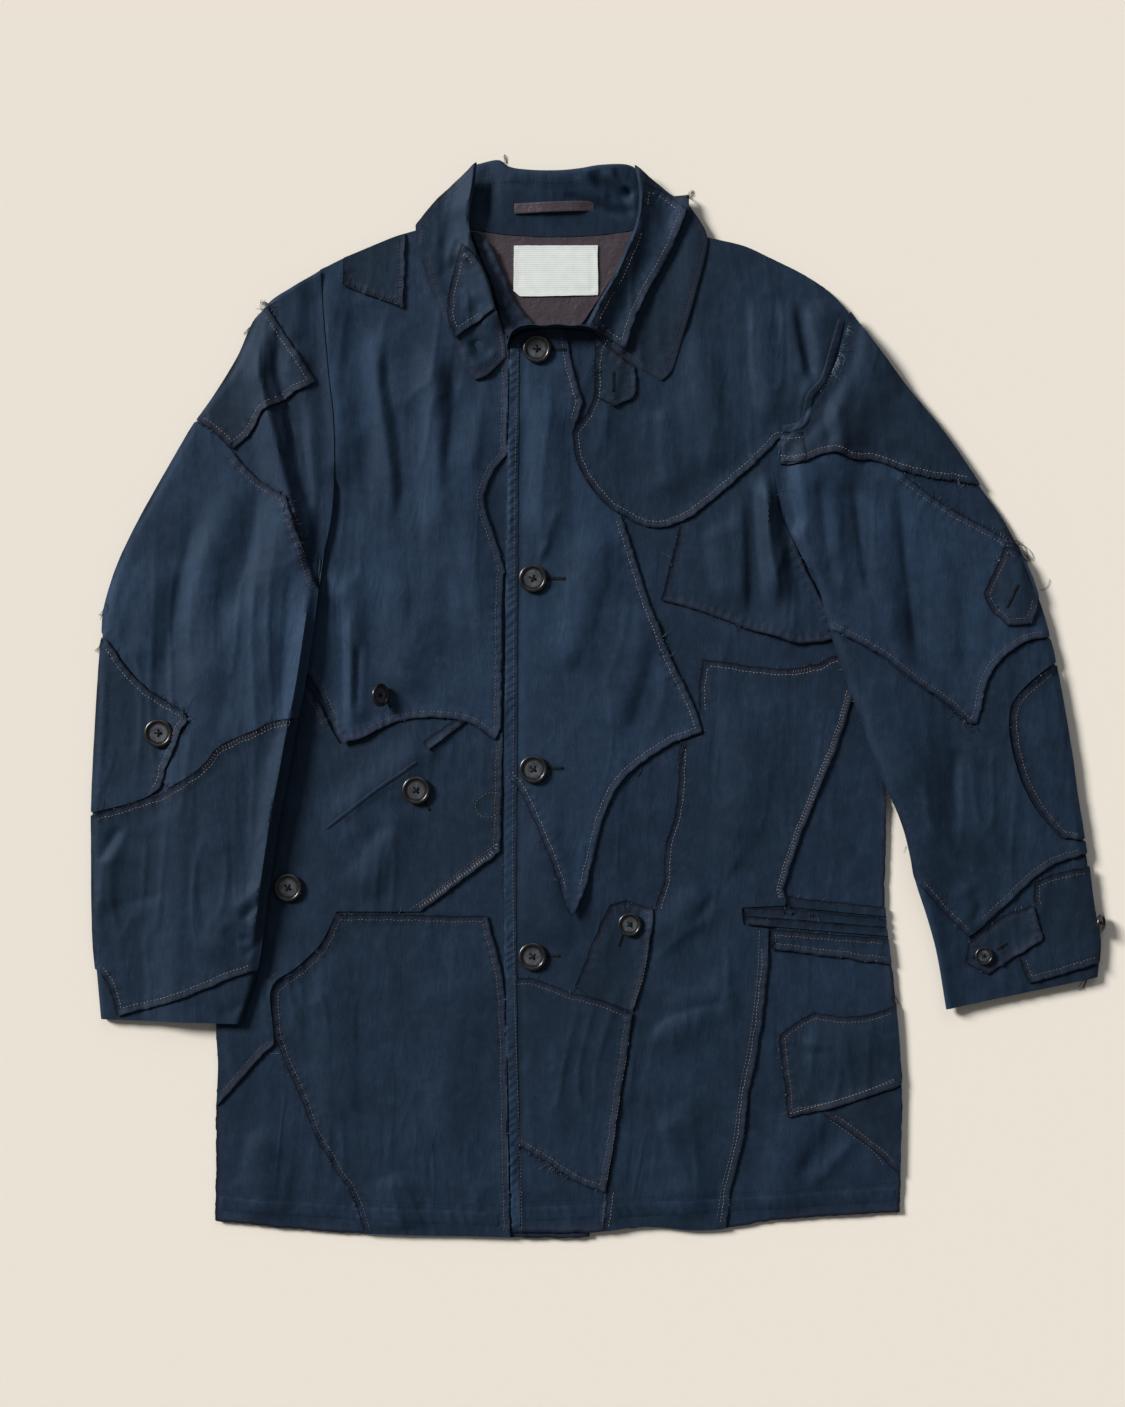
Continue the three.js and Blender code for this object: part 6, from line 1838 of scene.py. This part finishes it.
class LayStrips(bpy.types.Operator):
    """Lay the doubled strips: the front edge, the hems, the left armhole and the rim at the throat"""

    bl_idname = "coat.lay_strips"
    bl_label = "Doubled strips"

    def execute(self, context):
        laid = []
        for name in STRIPS:
            lay_strip(name, catcher_of(*laid))
            laid.append(name)
        make_throat_rim(Catcher(["left_front_panel", "right_front_panel"]))
        return {"FINISHED"}


class Sew(bpy.types.Operator):
    """Sew the rows of stitches and the buttonholes, and pull the loose threads out of the raw edges"""

    bl_idname = "coat.sew"
    bl_label = "Stitches and loose threads"

    def execute(self, context):
        catcher = catcher_of("collar_stand", "loop", *STRIPS)
        make_stitches(catcher)
        make_frays(catcher)
        make_buttonholes(catcher)
        return {"FINISHED"}


class Fasten(bpy.types.Operator):
    """Sew on the buttons"""

    bl_idname = "coat.fasten"
    bl_label = "Buttons"

    def execute(self, context):
        catcher = catcher_of("collar_stand", *STRIPS)
        for row in BUTTONS:
            make_button(*row, catcher)
        return {"FINISHED"}


class SetStage(bpy.types.Operator):
    """Put down the plain ground, the soft studio light and the camera straight above"""

    bl_idname = "coat.set_stage"
    bl_label = "Ground, light and camera"

    def execute(self, context):
        size, low = 6.0, -0.2 * MM
        ground = bpy.data.meshes.new("ground")
        corners = [(-size, -size, low), (size, -size, low), (size, size, low), (-size, size, low)]
        ground.from_pydata(corners, [], [(0, 1, 2, 3)])
        ground.materials.append(materials["board"])
        floor = bpy.data.objects.new("ground", ground)
        context.scene.collection.objects.link(floor)
        aim = Vector((*plan([(562.5, 703.5)])[0], 0))
        for name, place, strength, breadth, tint in (
            ("window_light", (-2.2, 1.3, 1.38), 5.9, 17, "#fffaf4"),
            ("upper_light", (0.4, 2.4, 1.7), 0.45, 40, "#f4f8ff"),
        ):
            light = bpy.data.lights.new(name, "SUN")
            light.energy = strength
            light.angle = math.radians(breadth)
            light.color = linear(tint)[:3]
            lamp = bpy.data.objects.new(name, light)
            lamp.location = place
            lamp.rotation_euler = (aim - Vector(place)).to_track_quat("-Z", "Y").to_euler()
            context.scene.collection.objects.link(lamp)
        world = bpy.data.worlds.new("studio")
        world.use_nodes = True
        world.node_tree.nodes["Background"].inputs["Color"].default_value = linear("#f3f1ec")
        world.node_tree.nodes["Background"].inputs["Strength"].default_value = 0.17
        context.scene.world = world
        context.scene.view_settings.view_transform = "Standard"
        lens = bpy.data.cameras.new("overhead")
        lens.sensor_fit = "AUTO"
        lens.sensor_width = 36
        distance = 1.75
        lens.lens = lens.sensor_width * distance / (1407 * GRID)
        camera = bpy.data.objects.new("overhead", lens)
        camera.location = aim + Vector((0, 0, distance))
        camera.rotation_euler = (0, 0, 0)
        context.scene.collection.objects.link(camera)
        context.scene.camera = camera
        return {"FINISHED"}


class CoatPanel(bpy.types.Panel):
    """The coat's sizes, colours and pieces"""

    bl_idname = "VIEW3D_PT_coat"
    bl_label = "Patched coat"
    bl_space_type = "VIEW_3D"
    bl_region_type = "UI"
    bl_category = "Coat"

    def draw(self, context):
        for group in (context.scene.coat_sizes, context.scene.coat_colours):
            box = self.layout.box()
            for key in group.__annotations__:
                box.prop(group, key)
        for operator in OPERATORS:
            self.layout.operator(operator.bl_idname)


OPERATORS = (MakeBody, MakeFrontPatches, MakeSleeves, MakeCollar, MakeNeck, LayStrips, Sew, Fasten, SetStage)
CLASSES = (CoatSizes, CoatColours, *OPERATORS, CoatPanel)


def register():
    for cls in CLASSES:
        bpy.utils.register_class(cls)
    bpy.types.Scene.coat_sizes = bpy.props.PointerProperty(type=CoatSizes)
    bpy.types.Scene.coat_colours = bpy.props.PointerProperty(type=CoatColours)


def unregister():
    del bpy.types.Scene.coat_colours
    del bpy.types.Scene.coat_sizes
    for cls in reversed(CLASSES):
        bpy.utils.unregister_class(cls)


def main():
    register()
    bpy.ops.coat.make_body()
    bpy.ops.coat.make_front_patches()
    bpy.ops.coat.make_sleeves()
    bpy.ops.coat.make_collar()
    bpy.ops.coat.make_neck()
    bpy.ops.coat.lay_strips()
    bpy.ops.coat.sew()
    bpy.ops.coat.fasten()
    bpy.ops.coat.set_stage()


if __name__ == "__main__":
    main()
